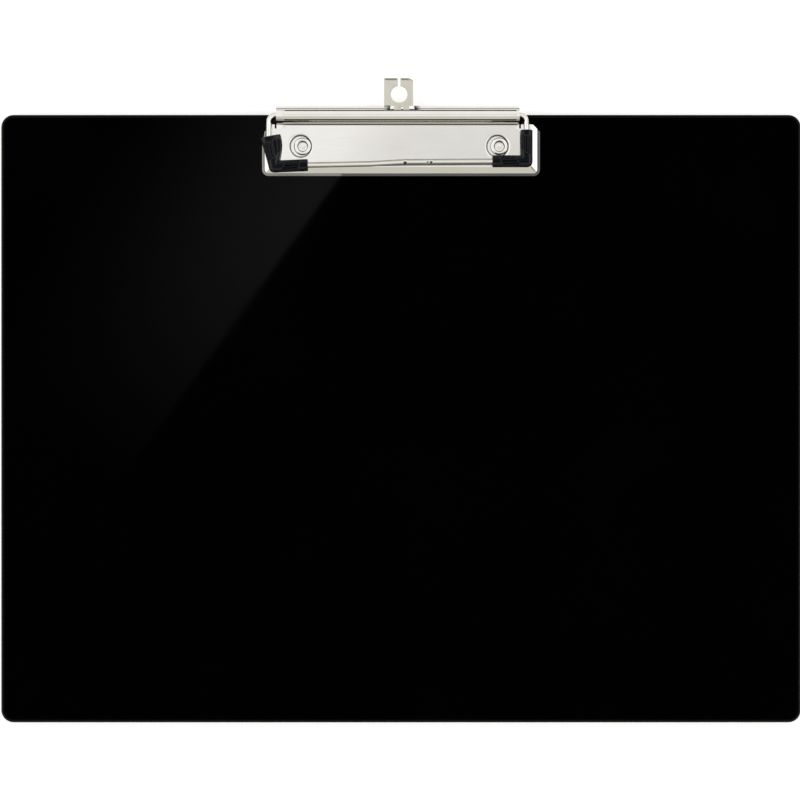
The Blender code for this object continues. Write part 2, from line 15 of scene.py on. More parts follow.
import bmesh
import bpy
import numpy as np
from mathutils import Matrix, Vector


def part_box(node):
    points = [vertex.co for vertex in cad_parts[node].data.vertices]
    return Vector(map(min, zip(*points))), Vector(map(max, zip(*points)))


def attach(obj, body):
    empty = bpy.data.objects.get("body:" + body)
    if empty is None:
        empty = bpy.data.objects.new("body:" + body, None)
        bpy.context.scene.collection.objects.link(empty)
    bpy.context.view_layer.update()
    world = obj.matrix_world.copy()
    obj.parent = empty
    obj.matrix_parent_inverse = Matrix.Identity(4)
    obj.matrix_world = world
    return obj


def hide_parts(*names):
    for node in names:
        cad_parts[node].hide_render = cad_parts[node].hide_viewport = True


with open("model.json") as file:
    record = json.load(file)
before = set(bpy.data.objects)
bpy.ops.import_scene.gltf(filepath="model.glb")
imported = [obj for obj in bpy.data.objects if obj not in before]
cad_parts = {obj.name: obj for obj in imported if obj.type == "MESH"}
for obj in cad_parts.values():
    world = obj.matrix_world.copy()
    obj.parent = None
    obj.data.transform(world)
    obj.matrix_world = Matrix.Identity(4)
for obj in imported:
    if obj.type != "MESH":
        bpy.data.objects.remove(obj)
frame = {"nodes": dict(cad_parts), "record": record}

MM = 0.001
# Name of the point value that holds the painted shade and painted reflections drawn dark on the
# metal.
PAINTED_SHADE = "painted_shade"
LOG = logging.getLogger("clipboard")

# The rivets' centres in the clip's frame: this far to each side, and at this y.
RIVET_X = 39.0
RIVET_Y = -12.7

# Nearly all of a noise texture's values lie between these two.
NOISE_RANGE = (0.3, 0.7)
# A grid line this near a size, in millimetres, lies on it.
SLACK = 0.01
# Points nearer than this, in metres, are one point.
WELD = 0.0005 * MM
# Edges of a cut sheet are rounded in this many steps, where faces meet at more than this angle.
EDGE_STEPS = 3
EDGE_ANGLE = math.radians(60.0)
# Points on each round bend of a path before it is spaced evenly.
BEND_POINTS = 24

Pair = tuple[float, float]
Corner = tuple[float, float, float]
Socket = bpy.types.NodeSocket


# ------------------------------------------------------------------ numbers and grids


def smoothstep(value: np.ndarray) -> np.ndarray:
    """A rise from 0 to 1 that is level at both ends: 3t^2 - 2t^3, with t held in 0 to 1.

    Args:
        value: how far along the rise each point is.

    Returns:
        The height of the rise at each point.
    """
    held = np.clip(value, 0.0, 1.0)
    return held * held * (3.0 - 2.0 * held)


def lines(*runs: np.ndarray) -> np.ndarray:
    """Grid lines in order, with doubles dropped.

    Args:
        runs: lists of line positions, in any order.

    Returns:
        Each position once, lowest first.
    """
    return np.unique(np.round(np.concatenate([np.atleast_1d(run) for run in runs]), 4))


def both_ways(distances: tuple[float, ...], centre: float) -> np.ndarray:
    """Lines at the same distances on both sides of a centre.

    Args:
        distances: distances from the centre, 0 not among them.
        centre: the centre's position.

    Returns:
        The positions, lowest first.
    """
    out = np.array(distances)
    return np.concatenate([centre - out[::-1], centre + out])


def ring_warp(
    x: np.ndarray, y: np.ndarray, full: float, end: float
) -> tuple[np.ndarray, np.ndarray]:
    """Turn square loops of a grid about its origin into circles.

    A point whose larger coordinate is m lies on the square loop m. It moves along its own ray to
    distance m from the origin, wholly inside the loop full and not at all past the loop end.

    Args:
        x: coordinates along the rows.
        y: coordinates along the columns.
        full: loop inside which the loops are whole circles.
        end: loop outside which nothing moves.

    Returns:
        The moved x and y.
    """
    loop = np.maximum(np.abs(x), np.abs(y))
    reach = np.hypot(x, y)
    safe = np.where(reach > 0.0, reach, 1.0)
    share = 1.0 - smoothstep((loop - full) / max(end - full, 1e-6))
    factor = 1.0 + share * (loop / safe - 1.0)
    return x * factor, y * factor


def square_loop(block: np.ndarray) -> np.ndarray:
    """The outer points of a block of a grid, in order once round.

    Args:
        block: rows by columns by 3.

    Returns:
        The loop's points.
    """
    sides = (block[0, :-1], block[:-1, -1], block[-1, :0:-1], block[:0:-1, 0])
    return np.concatenate(sides)


def turn_profile(profile: np.ndarray, count: int) -> np.ndarray:
    """Carry a (radius, height) profile round the z axis: (r cos a, r sin a, z).

    Args:
        profile: points by 2.
        count: steps in a whole turn.

    Returns:
        Points by count by 3.
    """
    angle = np.linspace(0.0, 2.0 * math.pi, count, endpoint=False)
    radius, height = profile[:, :1], profile[:, 1:]
    x, y = radius * np.cos(angle), radius * np.sin(angle)
    return np.stack([x, y, np.broadcast_to(height, x.shape)], axis=-1)


def arc(centre: Pair, radii: Pair, start: float, end: float, count: int) -> np.ndarray:
    """Points on part of an ellipse: centre + (a cos t, b sin t), t from start to end.

    Args:
        centre: the ellipse's centre.
        radii: half widths a and b.
        start: first angle in degrees.
        end: last angle in degrees.
        count: how many points.

    Returns:
        Count by 2.
    """
    angle = np.radians(np.linspace(start, end, count))
    x = centre[0] + radii[0] * np.cos(angle)
    y = centre[1] + radii[1] * np.sin(angle)
    return np.stack([x, y], axis=-1)


def bent_path(corners: tuple[Corner, ...], closed: bool, step: float) -> np.ndarray:
    """A path of straight runs and round bends, with points an even step apart.

    Each bend is an arc that touches both runs at radius * tan(turn / 2) from its corner.

    Args:
        corners: (x, y, bend radius) of each corner.
        closed: whether the last corner runs on to the first.
        step: distance between the points returned.

    Returns:
        Points by 2.
    """
    place = np.array([corner[:2] for corner in corners])
    pieces = []
    for index, (_, _, radius) in enumerate(corners):
        here = place[index]
        if radius == 0.0 or (not closed and index in (0, len(corners) - 1)):
            pieces.append(here[None])
            continue
        arrive = here - place[index - 1]
        arrive = arrive / np.linalg.norm(arrive)
        leave = place[(index + 1) % len(place)] - here
        leave = leave / np.linalg.norm(leave)
        cross = arrive[0] * leave[1] - arrive[1] * leave[0]
        turn = math.atan2(abs(cross), float(arrive @ leave))
        side = math.copysign(1.0, cross)
        start = here - arrive * radius * math.tan(turn / 2.0)
        inward = side * np.array([-arrive[1], arrive[0]])
        angle = np.linspace(0.0, turn, BEND_POINTS)[:, None]
        pieces.append(
            start + radius * np.sin(angle) * arrive + radius * (1.0 - np.cos(angle)) * inward
        )
    path = np.concatenate(pieces + ([pieces[0][:1]] if closed else []))
    along = np.concatenate([[0.0], np.cumsum(np.linalg.norm(np.diff(path, axis=0), axis=1))])
    count = max(2, round(along[-1] / step))
    at = np.linspace(0.0, along[-1], count, endpoint=not closed)
    return np.stack([np.interp(at, along, path[:, k]) for k in range(2)], axis=-1)


# ------------------------------------------------------------------ meshes


@dataclass
class Patch:
    """A grid of points in millimetres, and which of its cells are kept."""

    points: np.ndarray
    keep: np.ndarray | None = None
    round_rows: bool = False
    round_columns: bool = False
    # Painted shade at each point, from 0 to 1, if any.
    painted_shade: np.ndarray | None = None

    def painted_shade_values(self) -> np.ndarray:
        """The painted shade at each point, from 0 on open metal to 1."""
        none = np.zeros(self.points.shape[0] * self.points.shape[1])
        return none if self.painted_shade is None else self.painted_shade.reshape(-1)

    def faces(self, first: int) -> np.ndarray:
        """Corner numbers of the kept cells.

        Args:
            first: number of the grid's first point in the whole mesh.

        Returns:
            Faces by 4.
        """
        rows, columns = self.points.shape[:2]
        index = first + np.arange(rows * columns).reshape(rows, columns)
        if self.round_rows:
            index = np.vstack([index, index[:1]])
        if self.round_columns:
            index = np.hstack([index, index[:, :1]])
        corners = (index[:-1, :-1], index[:-1, 1:], index[1:, 1:], index[1:, :-1])
        quads = np.stack(corners, axis=-1)
        return quads.reshape(-1, 4) if self.keep is None else quads[self.keep]


class Outward(Enum):
    """How a new mesh gets its faces to point outwards."""

    CLOSED = "a closed surface is turned as a whole"
    SHEET = "an open sheet keeps the order of its grid"


@dataclass(frozen=True)
class Seat:
    """Where the clip's frame and the barrel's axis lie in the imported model, in metres."""

    origin: np.ndarray
    axis: np.ndarray
    board_low: np.ndarray
    board_high: np.ndarray

    @classmethod
    def from_frame(cls) -> "Seat":
        """Read the board's box and the bail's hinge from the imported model.

        Returns:
            The seat.
        """
        low, high = (np.array(corner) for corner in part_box("board"))
        joints = frame["record"]["behaviour"]["joints"]
        hinge = next(joint for joint in joints if joint["name"] == "bail_hinge")
        origin = np.array([0.0, high[1], high[2]])
        return cls(origin, np.array(hinge["pos_m"]), low, high)

    @property
    def axis_mm(self) -> np.ndarray:
        """The barrel's axis in the clip's frame, in millimetres."""
        return (self.axis - self.origin) / MM


def build_piece(
    name: str,
    patches: list[Patch],
    origin: np.ndarray,
    outward: Outward = Outward.CLOSED,
    sharp: float = 40.0,
) -> bpy.types.Object:
    """Join patches into one mesh, weld their shared points and shade them smooth.

    Args:
        name: the piece's name.
        patches: grids in millimetres, in the frame of origin.
        origin: where that frame lies, in metres.
        outward: how the faces are made to point outwards.
        sharp: angle in degrees above which an edge stays sharp.

    Returns:
        The new object.
    """
    counts = [patch.points.shape[0] * patch.points.shape[1] for patch in patches]
    firsts = np.concatenate([[0], np.cumsum(counts)[:-1]])
    points = np.concatenate([patch.points.reshape(-1, 3) for patch in patches])
    faces = np.concatenate(
        [patch.faces(int(first)) for patch, first in zip(patches, firsts)]
    )
    mesh = bpy.data.meshes.new(name)
    mesh.from_pydata((points * MM + origin).tolist(), [], faces.tolist())
    # Each point keeps its painted shade as a point value, which the nickel finish reads.
    painted_shade = mesh.attributes.new(PAINTED_SHADE, "FLOAT", "POINT")
    painted_shade.data.foreach_set("value", np.concatenate([patch.painted_shade_values() for patch in patches]))
    shape = bmesh.new()
    shape.from_mesh(mesh)
    bmesh.ops.remove_doubles(shape, verts=shape.verts, dist=WELD)
    loose = [vert for vert in shape.verts if not vert.link_faces]
    bmesh.ops.delete(shape, geom=loose, context="VERTS")
    if outward is Outward.CLOSED:
        bmesh.ops.recalc_face_normals(shape, faces=shape.faces)
    shape.to_mesh(mesh)
    shape.free()
    mesh.shade_smooth()
    mesh.set_sharp_from_angle(angle=math.radians(sharp))
    piece = bpy.data.objects.new(name, mesh)
    bpy.context.scene.collection.objects.link(piece)
    return piece


def give_thickness(piece: bpy.types.Object, sheet: float, edge: float) -> None:
    """Give a sheet its thickness about its middle surface, and round its cut edges.

    Args:
        piece: the open sheet.
        sheet: thickness in millimetres.
        edge: width of the rounding in millimetres.
    """
    wall = piece.modifiers.new("sheet", "SOLIDIFY")
    wall.thickness = sheet * MM
    wall.offset = 0.0
    rounding = piece.modifiers.new("edge", "BEVEL")
    rounding.width = edge * MM
    rounding.segments = EDGE_STEPS
    rounding.limit_method = "ANGLE"
    rounding.angle_limit = EDGE_ANGLE
    rounding.harden_normals = False


# ------------------------------------------------------------------ finishes


def linear(code: str) -> tuple[float, float, float, float]:
    """Turn an sRGB hex colour into linear values, by the sRGB standard's own curve.

    Args:
        code: six hex digits after a #.

    Returns:
        Linear red, green, blue, and 1 for alpha.
    """
    parts = [int(code[k : k + 2], 16) / 255.0 for k in (1, 3, 5)]
    low = [part / 12.92 for part in parts]
    high = [((part + 0.055) / 1.055) ** 2.4 for part in parts]
    values = [a if part <= 0.04045 else b for part, a, b in zip(parts, low, high)]
    return (*values, 1.0)


def add_node(
    tree: bpy.types.NodeTree, kind: str, inputs: dict[str | int, Any], **settings: Any
) -> bpy.types.Node:
    """Add a node, set it up and link it.

    Args:
        tree: the node tree.
        kind: the node's type name.
        inputs: input name or number to a value, or to the socket that feeds it.
        settings: the node's own settings.

    Returns:
        The new node.
    """
    node = tree.nodes.new(kind)
    for key, value in settings.items():
        setattr(node, key, value)
    for key, value in inputs.items():
        if isinstance(value, Socket):
            tree.links.new(value, node.inputs[key])
        else:
            node.inputs[key].default_value = value
    return node


def new_finish(name: str) -> tuple[bpy.types.Material, bpy.types.NodeTree, bpy.types.Node]:
    """Start a material with only its output and Principled shader.

    Args:
        name: the material's name.

    Returns:
        The material, its node tree and its shader.
    """
    material = bpy.data.materials.new(name)
    material.use_nodes = True
    tree = material.node_tree
    return material, tree, tree.nodes["Principled BSDF"]


def layer(tree: bpy.types.NodeTree, base: Any, covers: list[tuple[Socket, Any]]) -> Socket:
    """Lay colours over one another.

    Args:
        tree: the node tree.
        base: the lowest colour, as a socket or as linear values.
        covers: the mask and the colour of each one laid over it, in order.

    Returns:
        The colour of the whole.
    """
    colour = base
    for share, cover in covers:
        inputs = {0: share, 6: colour, 7: cover}
        colour = add_node(tree, "ShaderNodeMix", inputs, data_type="RGBA").outputs[2]
    return colour


def texture(
    tree: bpy.types.NodeTree,
    shader: bpy.types.Node,
    dulling: tuple[Socket, Pair, Pair],
    relief: tuple[Socket, float, float],
) -> None:
    """Drive a shader's roughness and its bump by patterns.

    Args:
        tree: the material's node tree.
        shader: the shader.
        dulling: a pattern, the range of its values, and the roughness at each end of it.
        relief: a pattern, its height in millimetres, and its strength.
    """
    pattern, (low, high), (smooth, rough) = dulling
    spread = {"From Min": low, "From Max": high, "To Min": smooth, "To Max": rough}
    roughness = add_node(tree, "ShaderNodeMapRange", {"Value": pattern, **spread})
    tree.links.new(roughness.outputs["Result"], shader.inputs["Roughness"])
    pattern, height, strength = relief
    inputs = {"Strength": strength, "Distance": height * MM, "Height": pattern}
    bump = add_node(tree, "ShaderNodeBump", inputs)
    tree.links.new(bump.outputs["Normal"], shader.inputs["Normal"])


@dataclass(frozen=True)
class PolishedAcrylic:
    """Black acrylic sheet, the likely material: deep black under a mirror gloss."""

    colour: str = "#010102"
    smudge_colour: str = "#030303"
    index: float = 1.49
    specular_level: float = 0.25
    roughness: Pair = (0.01, 0.03)
    smudge_mm: float = 60.0
    smudge_detail: float = 5.0
    smudge_range: Pair = (0.35, 0.7)
    ripple_mm: float = 9.0
    ripple_height_mm: float = 0.0006

    def make(self) -> bpy.types.Material:
        """Make the material.

        Returns:
            The material.
        """
        material, tree, shader = new_finish("polished_black_acrylic")
        place = add_node(tree, "ShaderNodeTexCoord", {}).outputs["Object"]
        # Handling leaves faint dull patches, a few centimetres across.
        scale = 1.0 / (self.smudge_mm * MM)
        inputs = {"Vector": place, "Scale": scale, "Detail": self.smudge_detail}
        smudge = add_node(tree, "ShaderNodeTexNoise", inputs).outputs["Fac"]
        # A cast sheet is never quite flat: long shallow ripples bend what it mirrors.
        inputs = {"Vector": place, "Scale": 1.0 / (self.ripple_mm * MM), "Detail": 1.0}
        ripple = add_node(tree, "ShaderNodeTexNoise", inputs).outputs["Fac"]
        colour = layer(tree, linear(self.colour), [(smudge, linear(self.smudge_colour))])
        tree.links.new(colour, shader.inputs["Base Color"])
        dulling = (smudge, self.smudge_range, self.roughness)
        texture(tree, shader, dulling, (ripple, self.ripple_height_mm, 1.0))
        shader.inputs["IOR"].default_value = self.index
        shader.inputs["Specular IOR Level"].default_value = self.specular_level
        return material


@dataclass(frozen=True)
class NickelPlate:
    """Bright nickel on steel: a warm mirror, softened by the grain of the metal beneath."""

    name: str
    colour: str = "#E4E3DF"
    shade_colour: str = "#DAD7CF"
    roughness: Pair = (0.06, 0.10)
    grain_mm: Corner = (14.0, 0.35, 0.35)
    grain_detail: float = 3.0
    grain_height_mm: float = 0.0003
    mottle_mm: float = 11.0
    mottle_detail: float = 4.0
    # Colour of the painted shade and painted reflections, and whether they are drawn.
    painted_shade_colour: str = "#0C0D0E"
    has_painted_shade: bool = True

    def make(self) -> bpy.types.Material:
        """Make the material.

        Returns:
            The material.
        """
        material, tree, shader = new_finish(self.name)
        place = add_node(tree, "ShaderNodeTexCoord", {}).outputs["Object"]
        # The grain is long in the direction that the metal was rolled or drawn in. It is a few
        # hundredths of a millimetre across, and is drawn coarser so that it shows.
        inputs = {"Vector": place, "Scale": tuple(1.0 / (size * MM) for size in self.grain_mm)}
        stretched = add_node(tree, "ShaderNodeMapping", inputs).outputs["Vector"]
        inputs = {"Vector": stretched, "Scale": 1.0, "Detail": self.grain_detail}
        grain = add_node(tree, "ShaderNodeTexNoise", inputs).outputs["Fac"]
        # Nickel yellows slightly in cloudy patches.
        scale = 1.0 / (self.mottle_mm * MM)
        inputs = {"Vector": place, "Scale": scale, "Detail": self.mottle_detail}
        mottle = add_node(tree, "ShaderNodeTexNoise", inputs).outputs["Fac"]
        covers = [(mottle, linear(self.shade_colour))]
        if self.has_painted_shade:
            # Painted shade and painted reflections: folds, edges and other marked places are drawn
            # dark and hardly metallic, in place of what they mirror.
            painted_shade = add_node(tree, "ShaderNodeAttribute", {}, attribute_name=PAINTED_SHADE).outputs["Fac"]
            covers.append((painted_shade, linear(self.painted_shade_colour)))
            inputs = {0: 1.0, 1: painted_shade}
            metal = add_node(tree, "ShaderNodeMath", inputs, operation="SUBTRACT")
            tree.links.new(metal.outputs[0], shader.inputs["Metallic"])
        else:
            shader.inputs["Metallic"].default_value = 1.0
        tree.links.new(layer(tree, linear(self.colour), covers), shader.inputs["Base Color"])
        dulling = (grain, NOISE_RANGE, self.roughness)
        texture(tree, shader, dulling, (grain, self.grain_height_mm, 1.0))
        return material


@dataclass(frozen=True)
class MouldedRubber:
    """Dip-moulded soft vinyl rubber: navy black, with a satin skin and a fine eggshell grain."""

    colour: str = "#07080E"
    light_colour: str = "#101219"
    index: float = 1.52
    specular_level: float = 0.3
    roughness: Pair = (0.2, 0.3)
    grain_mm: float = 0.5
    grain_detail: float = 3.0
    grain_height_mm: float = 0.02
    grain_strength: float = 0.6
    cloud_mm: float = 4.0
    cloud_detail: float = 4.0

    def make(self) -> bpy.types.Material:
        """Make the material.

        Returns:
            The material.
        """
        material, tree, shader = new_finish("moulded_vinyl_rubber")
        place = add_node(tree, "ShaderNodeTexCoord", {}).outputs["Object"]
        # The mould's grain is about 0.1 mm across, and is drawn coarser so that it shows.
        scale = 1.0 / (self.grain_mm * MM)
        inputs = {"Vector": place, "Scale": scale, "Detail": self.grain_detail}
        grain = add_node(tree, "ShaderNodeTexNoise", inputs).outputs["Fac"]
        # Cloudy patches on the skin are lighter and duller. They are a guess at rubber.
        scale = 1.0 / (self.cloud_mm * MM)
        inputs = {"Vector": place, "Scale": scale, "Detail": self.cloud_detail}
        clouds = add_node(tree, "ShaderNodeTexNoise", inputs).outputs["Fac"]
        colour = layer(tree, linear(self.colour), [(clouds, linear(self.light_colour))])
        tree.links.new(colour, shader.inputs["Base Color"])
        dulling = (clouds, NOISE_RANGE, self.roughness)
        relief = (grain, self.grain_height_mm, self.grain_strength)
        texture(tree, shader, dulling, relief)
        shader.inputs["IOR"].default_value = self.index
        shader.inputs["Specular IOR Level"].default_value = self.specular_level
        return material


# ------------------------------------------------------------------ board


@dataclass
class Board:
    """The acrylic board: round corners, a softened rim, and a stepped hole for each rivet."""

    seat: Seat
    corner: float = 5.0
    rim: float = 0.8
    rim_steps: int = 9
    rivet_x: float = RIVET_X
    rivet_y: float = RIVET_Y
    hole: float = 2.8
    counterbore: float = 4.0
    counterbore_depth: float = 1.0
    ring_steps: tuple[float, ...] = (0.93, 1.87, 2.8, 3.4, 4.0, 5.2, 7.0)
    corner_steps: tuple[float, ...] = (0.0, 0.5, 1.1, 1.7, 2.3, 2.9, 3.5)

    def face_lines(self) -> tuple[np.ndarray, np.ndarray]:
        """Grid lines of the flat faces, whose edge is the rim's width inside the outline.

        Returns:
            The lines across and along the board.
        """
        half_x = (self.seat.board_high[0] - self.seat.board_low[0]) / MM / 2.0 - self.rim
        depth = (self.seat.board_high[1] - self.seat.board_low[1]) / MM
        steps = np.array((*self.corner_steps, self.corner - self.rim))
        left = both_ways(self.ring_steps, -self.rivet_x)
        right = both_ways(self.ring_steps, self.rivet_x)
        x = lines(-half_x + steps, half_x - steps, left, right, np.array([0.0]))
        rear, front = -self.rim, -depth + self.rim
        y = lines(rear - steps, front + steps, both_ways(self.ring_steps, self.rivet_y))
        return x, y

    def face(self) -> np.ndarray:
        """Points of a flat face: square loops turned round at each rivet and each corner.

        Returns:
            Lines across by lines along by 3.
        """
        lines_x, lines_y = self.face_lines()
        x, y = np.meshgrid(lines_x, lines_y, indexing="ij")
        outer = self.ring_steps[-1]
        for centre in (-self.rivet_x, self.rivet_x):
            moved = ring_warp(x - centre, y - self.rivet_y, self.ring_steps[-3], outer)
            inside = np.maximum(np.abs(x - centre), np.abs(y - self.rivet_y)) <= outer
            x = np.where(inside, moved[0] + centre, x)
            y = np.where(inside, moved[1] + self.rivet_y, y)
        radius = self.corner - self.rim
        middle_x = np.clip(x, lines_x[0] + radius, lines_x[-1] - radius)
        middle_y = np.clip(y, lines_y[0] + radius, lines_y[-1] - radius)
        out_x, out_y = ring_warp(x - middle_x, y - middle_y, radius, radius + 1.0)
        return np.stack([middle_x + out_x, middle_y + out_y, np.zeros_like(x)], axis=-1)

    def rim_band(self, face: np.ndarray, bottom: float) -> np.ndarray:
        """The rim: the face's edge carried round a quarter arc, down, and round another.

        Args:
            face: the flat face's points.
            bottom: height of the underside.

        Returns:
            Profile rows by points round the edge.
        """
        edge = square_loop(face)
        radius = self.corner - self.rim
        inner = np.clip(edge, face[0, 0] + radius, face[-1, -1] - radius)
        out = edge - inner
        out[:, 2] = 0.0
        out /= np.linalg.norm(out, axis=1)[:, None]
        upper = arc((0.0, -self.rim), (self.rim, self.rim), 90.0, 0.0, self.rim_steps)
        low_centre = (0.0, bottom + self.rim)
        lower = arc(low_centre, (self.rim, self.rim), 0.0, -90.0, self.rim_steps)
        profile = np.concatenate([upper, lower])
        up = np.array([0.0, 0.0, 1.0])
        flat = edge * np.array([1.0, 1.0, 0.0])
        return flat + profile[:, None, :1] * out + profile[:, None, 1:] * up

    def build(self) -> bpy.types.Object:
        """Build the board: two faces, the rim, and each rivet hole's walls and step.

        Returns:
            The board.
        """
        face = self.face()
        lines_x, lines_y = self.face_lines()
        bottom = (self.seat.board_low[2] - self.seat.board_high[2]) / MM
        step = bottom + self.counterbore_depth
        middle_x = (lines_x[1:] + lines_x[:-1])[:, None] / 2.0
        middle_y = (lines_y[1:] + lines_y[:-1])[None] / 2.0
        off_x = np.abs(np.abs(middle_x) - self.rivet_x)
        loop = np.maximum(off_x, np.abs(middle_y - self.rivet_y))
        under = face + np.array([0.0, 0.0, bottom])
        patches = [
            Patch(face, loop > self.hole),
            Patch(under, loop > self.counterbore),
            Patch(self.rim_band(face, bottom), round_columns=True),
        ]
        for centre in (-self.rivet_x, self.rivet_x):
            rings = []
            for radius, height in (
                (self.hole, 0.0),
                (self.hole, step),
                (self.counterbore, step),
                (self.counterbore, bottom),
            ):
                near_x = np.abs(lines_x - centre) <= radius + SLACK
                near_y = np.abs(lines_y - self.rivet_y) <= radius + SLACK
                ring = square_loop(face[np.ix_(near_x, near_y)])
                rings.append(ring + np.array([0.0, 0.0, height]))
            patches.append(Patch(np.stack(rings[:2]), round_columns=True))
            patches.append(Patch(np.stack(rings[2:]), round_columns=True))
            near_x = np.abs(middle_x[:, 0] - centre) < self.counterbore
            near_y = np.abs(middle_y[0] - self.rivet_y) < self.counterbore
            ledge = (loop > self.hole) & near_x[:, None] & near_y[None]
            patches.append(Patch(face + np.array([0.0, 0.0, step]), ledge))
        return build_piece("board_shell", patches, self.seat.origin)


# ------------------------------------------------------------------ clip plate


@dataclass
class ClipPlate:
    """The pressed plate: a lip, sloped sides, two dimples, and a rear edge rolled to a barrel."""

    seat: Seat
    sheet: float = 0.7
    cut_edge: float = 0.14
    sharp: float = 50.0
    foot: float = 0.3
    rise: float = 2.0
    lip: float = 1.1
    slope: float = 2.4
    corner: float = 2.5
    bend: float = 0.35
    curl: float = 0.15
    curl_share: float = 0.7
    rivet_x: float = RIVET_X
    rivet_y: float = RIVET_Y
    rivet_hole: float = 2.8
    dimple: Pair = (4.1, 4.85)
    dimple_depth: float = 1.3
    dimple_shift: float = -0.75
    shoulder: float = -4.1
    chamfer: float = 2.8
    left_taper: float = 0.9
    left_taper_width: float = 5.0
    pale_lip: float = -24.5
    pale_fade: float = 1.5
    relief: Pair = (0.7, 1.6)
    barrel_radius: float = 3.6
    barrel_ends: Pair = (-49.3, 46.8)
    roll: Pair = (217.0, 557.0)
    roll_bend_end: float = 234.0
    roll_bend_rows: int = 8
    roll_rows: tuple[int, int, int] = (18, 25, 30)
    notch_angles: Pair = (315.0, 424.5)
    notch_front_x: Pair = (-5.2, 6.5)
    notch_taper: Pair = (0.571, 0.75)
    notch_front_y: float = 1.4
    notch_blend: float = 4.0
    notch_middle_blend: float = 5.0
    notch_blend_angle: float = 20.0
    plain_x: tuple[float, ...] = (-16.0, 16.0, 24.0)
    # Painted shade and painted reflections: where the metal is drawn dark, and how dark, in thin
    # lines along bends, seams and edges, and over the lip.
    lip_shade_and_reflection: Pair = (0.86, 0.96)
    pale_share: float = 0.72
    crease: float = 0.24
    crease_inset: float = 0.22
    seam_shade: Pair = (0.35, 0.2)
    seam_reach: float = 46.5
    wall_shares: Pair = (0.12, 0.75)
    wall_painted_shade: float = 0.95
    corner_crease: float = 0.3
    bend_painted_shade: Pair = (22.0, 12.0)
    end_painted_shade: Pair = (26.0, 10.0)
    notch_painted_shade: float = 0.45
    shoulder_steps: Pair = (1.1, 0.5)
    edge_steps: tuple[float, ...] = (
        0.0, 0.2, 0.4, 0.6, 0.75, 0.9, 1.05, 1.2, 1.35, 1.55, 1.9, 2.3, 2.7,
        3.05, 3.2, 3.35, 3.5, 3.65, 3.8, 3.95, 4.6,
    )  # fmt: skip
    ring_steps: tuple[float, ...] = (
        0.7, 1.4, 2.1, 2.8, 3.25, 3.7, 4.0, 4.15, 4.3, 4.45, 4.6, 4.75, 4.9, 5.1, 5.6, 6.3,
    )  # fmt: skip

    @property
    def half_length(self) -> float:
        """Half the plate's length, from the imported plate."""
        low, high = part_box("base_plate")
        return (high[0] - low[0]) / MM / 2.0

    @property
    def front(self) -> float:
        """The plate's front edge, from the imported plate."""
        return (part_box("base_plate")[0][1] - self.seat.origin[1]) / MM

    def plan_x(self) -> np.ndarray:
        """Grid lines across the plate: close together at bends, holes, slits and the notch.

        Returns:
            The lines, from left to right.
        """
        steps = np.array(self.edge_steps)
        left, right = self.barrel_ends
        slit = self.relief[0]
        notch_left, notch_right = self.notch_front_x
        return lines(
            -self.half_length + steps,
            self.half_length - steps,
            both_ways(self.ring_steps, -self.rivet_x),
            both_ways(self.ring_steps, self.rivet_x),
            np.array([left - slit, left, right, right + slit]),
            np.linspace(notch_left - self.notch_blend, notch_left, 3),
            np.linspace(notch_right, notch_right + self.notch_blend, 3),
            np.linspace(notch_left, notch_right, 5),
            np.array([self.pale_lip, self.pale_lip + self.pale_fade, *self.plain_x]),
        )

    def plan_y(self) -> np.ndarray:
        """Grid lines from the plate's front to its shoulders.

        Returns:
            The lines, from front to rear.
        """
        steps = np.array([self.relief[1], *self.shoulder_steps, 0.0])
        return lines(
            self.front + np.array(self.edge_steps),
            both_ways(self.ring_steps, self.rivet_y),
            self.shoulder - steps,
        )

    def side_rise(self, inset: np.ndarray) -> np.ndarray:
        """Share of the plate's rise at a distance in from its edge.

        The slope's steepness climbs from 0 to 1 over the bend at its foot and falls back over
        the bend at its head, and the height is that steepness added up.

        Args:
            inset: distance in from the edge.

        Returns:
            0 on the lip to 1 on the flat top.
        """
        table = np.linspace(0.0, self.lip + self.slope + 2.0, 400)
        width = 2.0 * self.bend
        foot = smoothstep((table - self.lip + self.bend) / width)
        head = smoothstep((table - self.lip - self.slope + self.bend) / width)
        height = np.cumsum(foot - head)
        return np.interp(inset, table, height / height[-1])

    def tray(self) -> tuple[np.ndarray, np.ndarray]:
        """The flat part's middle surface, out to the lip.

        Each dimple's centre lies a little to the left of its rivet's, so the square loops turn into
        circles whose centres move over by dimple_shift before the wall and back again after it.

        Returns:
            The points, and the painted shade at each one.
        """
        x, y = np.meshgrid(self.plan_x(), self.plan_y())
        outer = self.ring_steps[-1]
        sunk = np.zeros_like(x)
        for centre in (-self.rivet_x, self.rivet_x):
            loop = np.maximum(np.abs(x - centre), np.abs(y - self.rivet_y))
            inside = loop <= outer
            moved = ring_warp(x - centre, y - self.rivet_y, self.ring_steps[-3], outer)
            shift = np.interp(loop, (self.rivet_hole, *self.dimple, outer), (0.0, 1.0, 1.0, 0.0))
            x = np.where(inside, moved[0] + centre + shift * self.dimple_shift, x)
            y = np.where(inside, moved[1] + self.rivet_y, y)
            wall = smoothstep((loop - self.dimple[0]) / (self.dimple[1] - self.dimple[0]))
            sunk = np.maximum(sunk, 1.0 - wall)

        limit = self.half_length - self.corner
        middle_x = np.clip(x, -limit, limit)
        middle_y = np.maximum(y, self.front + self.corner)
        out_x, out_y = ring_warp(x - middle_x, y - middle_y, self.corner, self.corner + 1.0)
        x, y = middle_x + out_x, middle_y + out_y
        at_corner = np.hypot(out_x, out_y)
        inset = np.minimum(self.half_length - np.abs(x), y - self.front)
        inset = np.where(at_corner > 0.0, np.minimum(inset, self.corner - at_corner), inset)

        past = np.maximum(np.abs(x) - (self.half_length - self.chamfer), 0.0)
        back = np.maximum(y - self.rivet_y, 0.0) / (self.shoulder - self.rivet_y)
        y = y - past * back
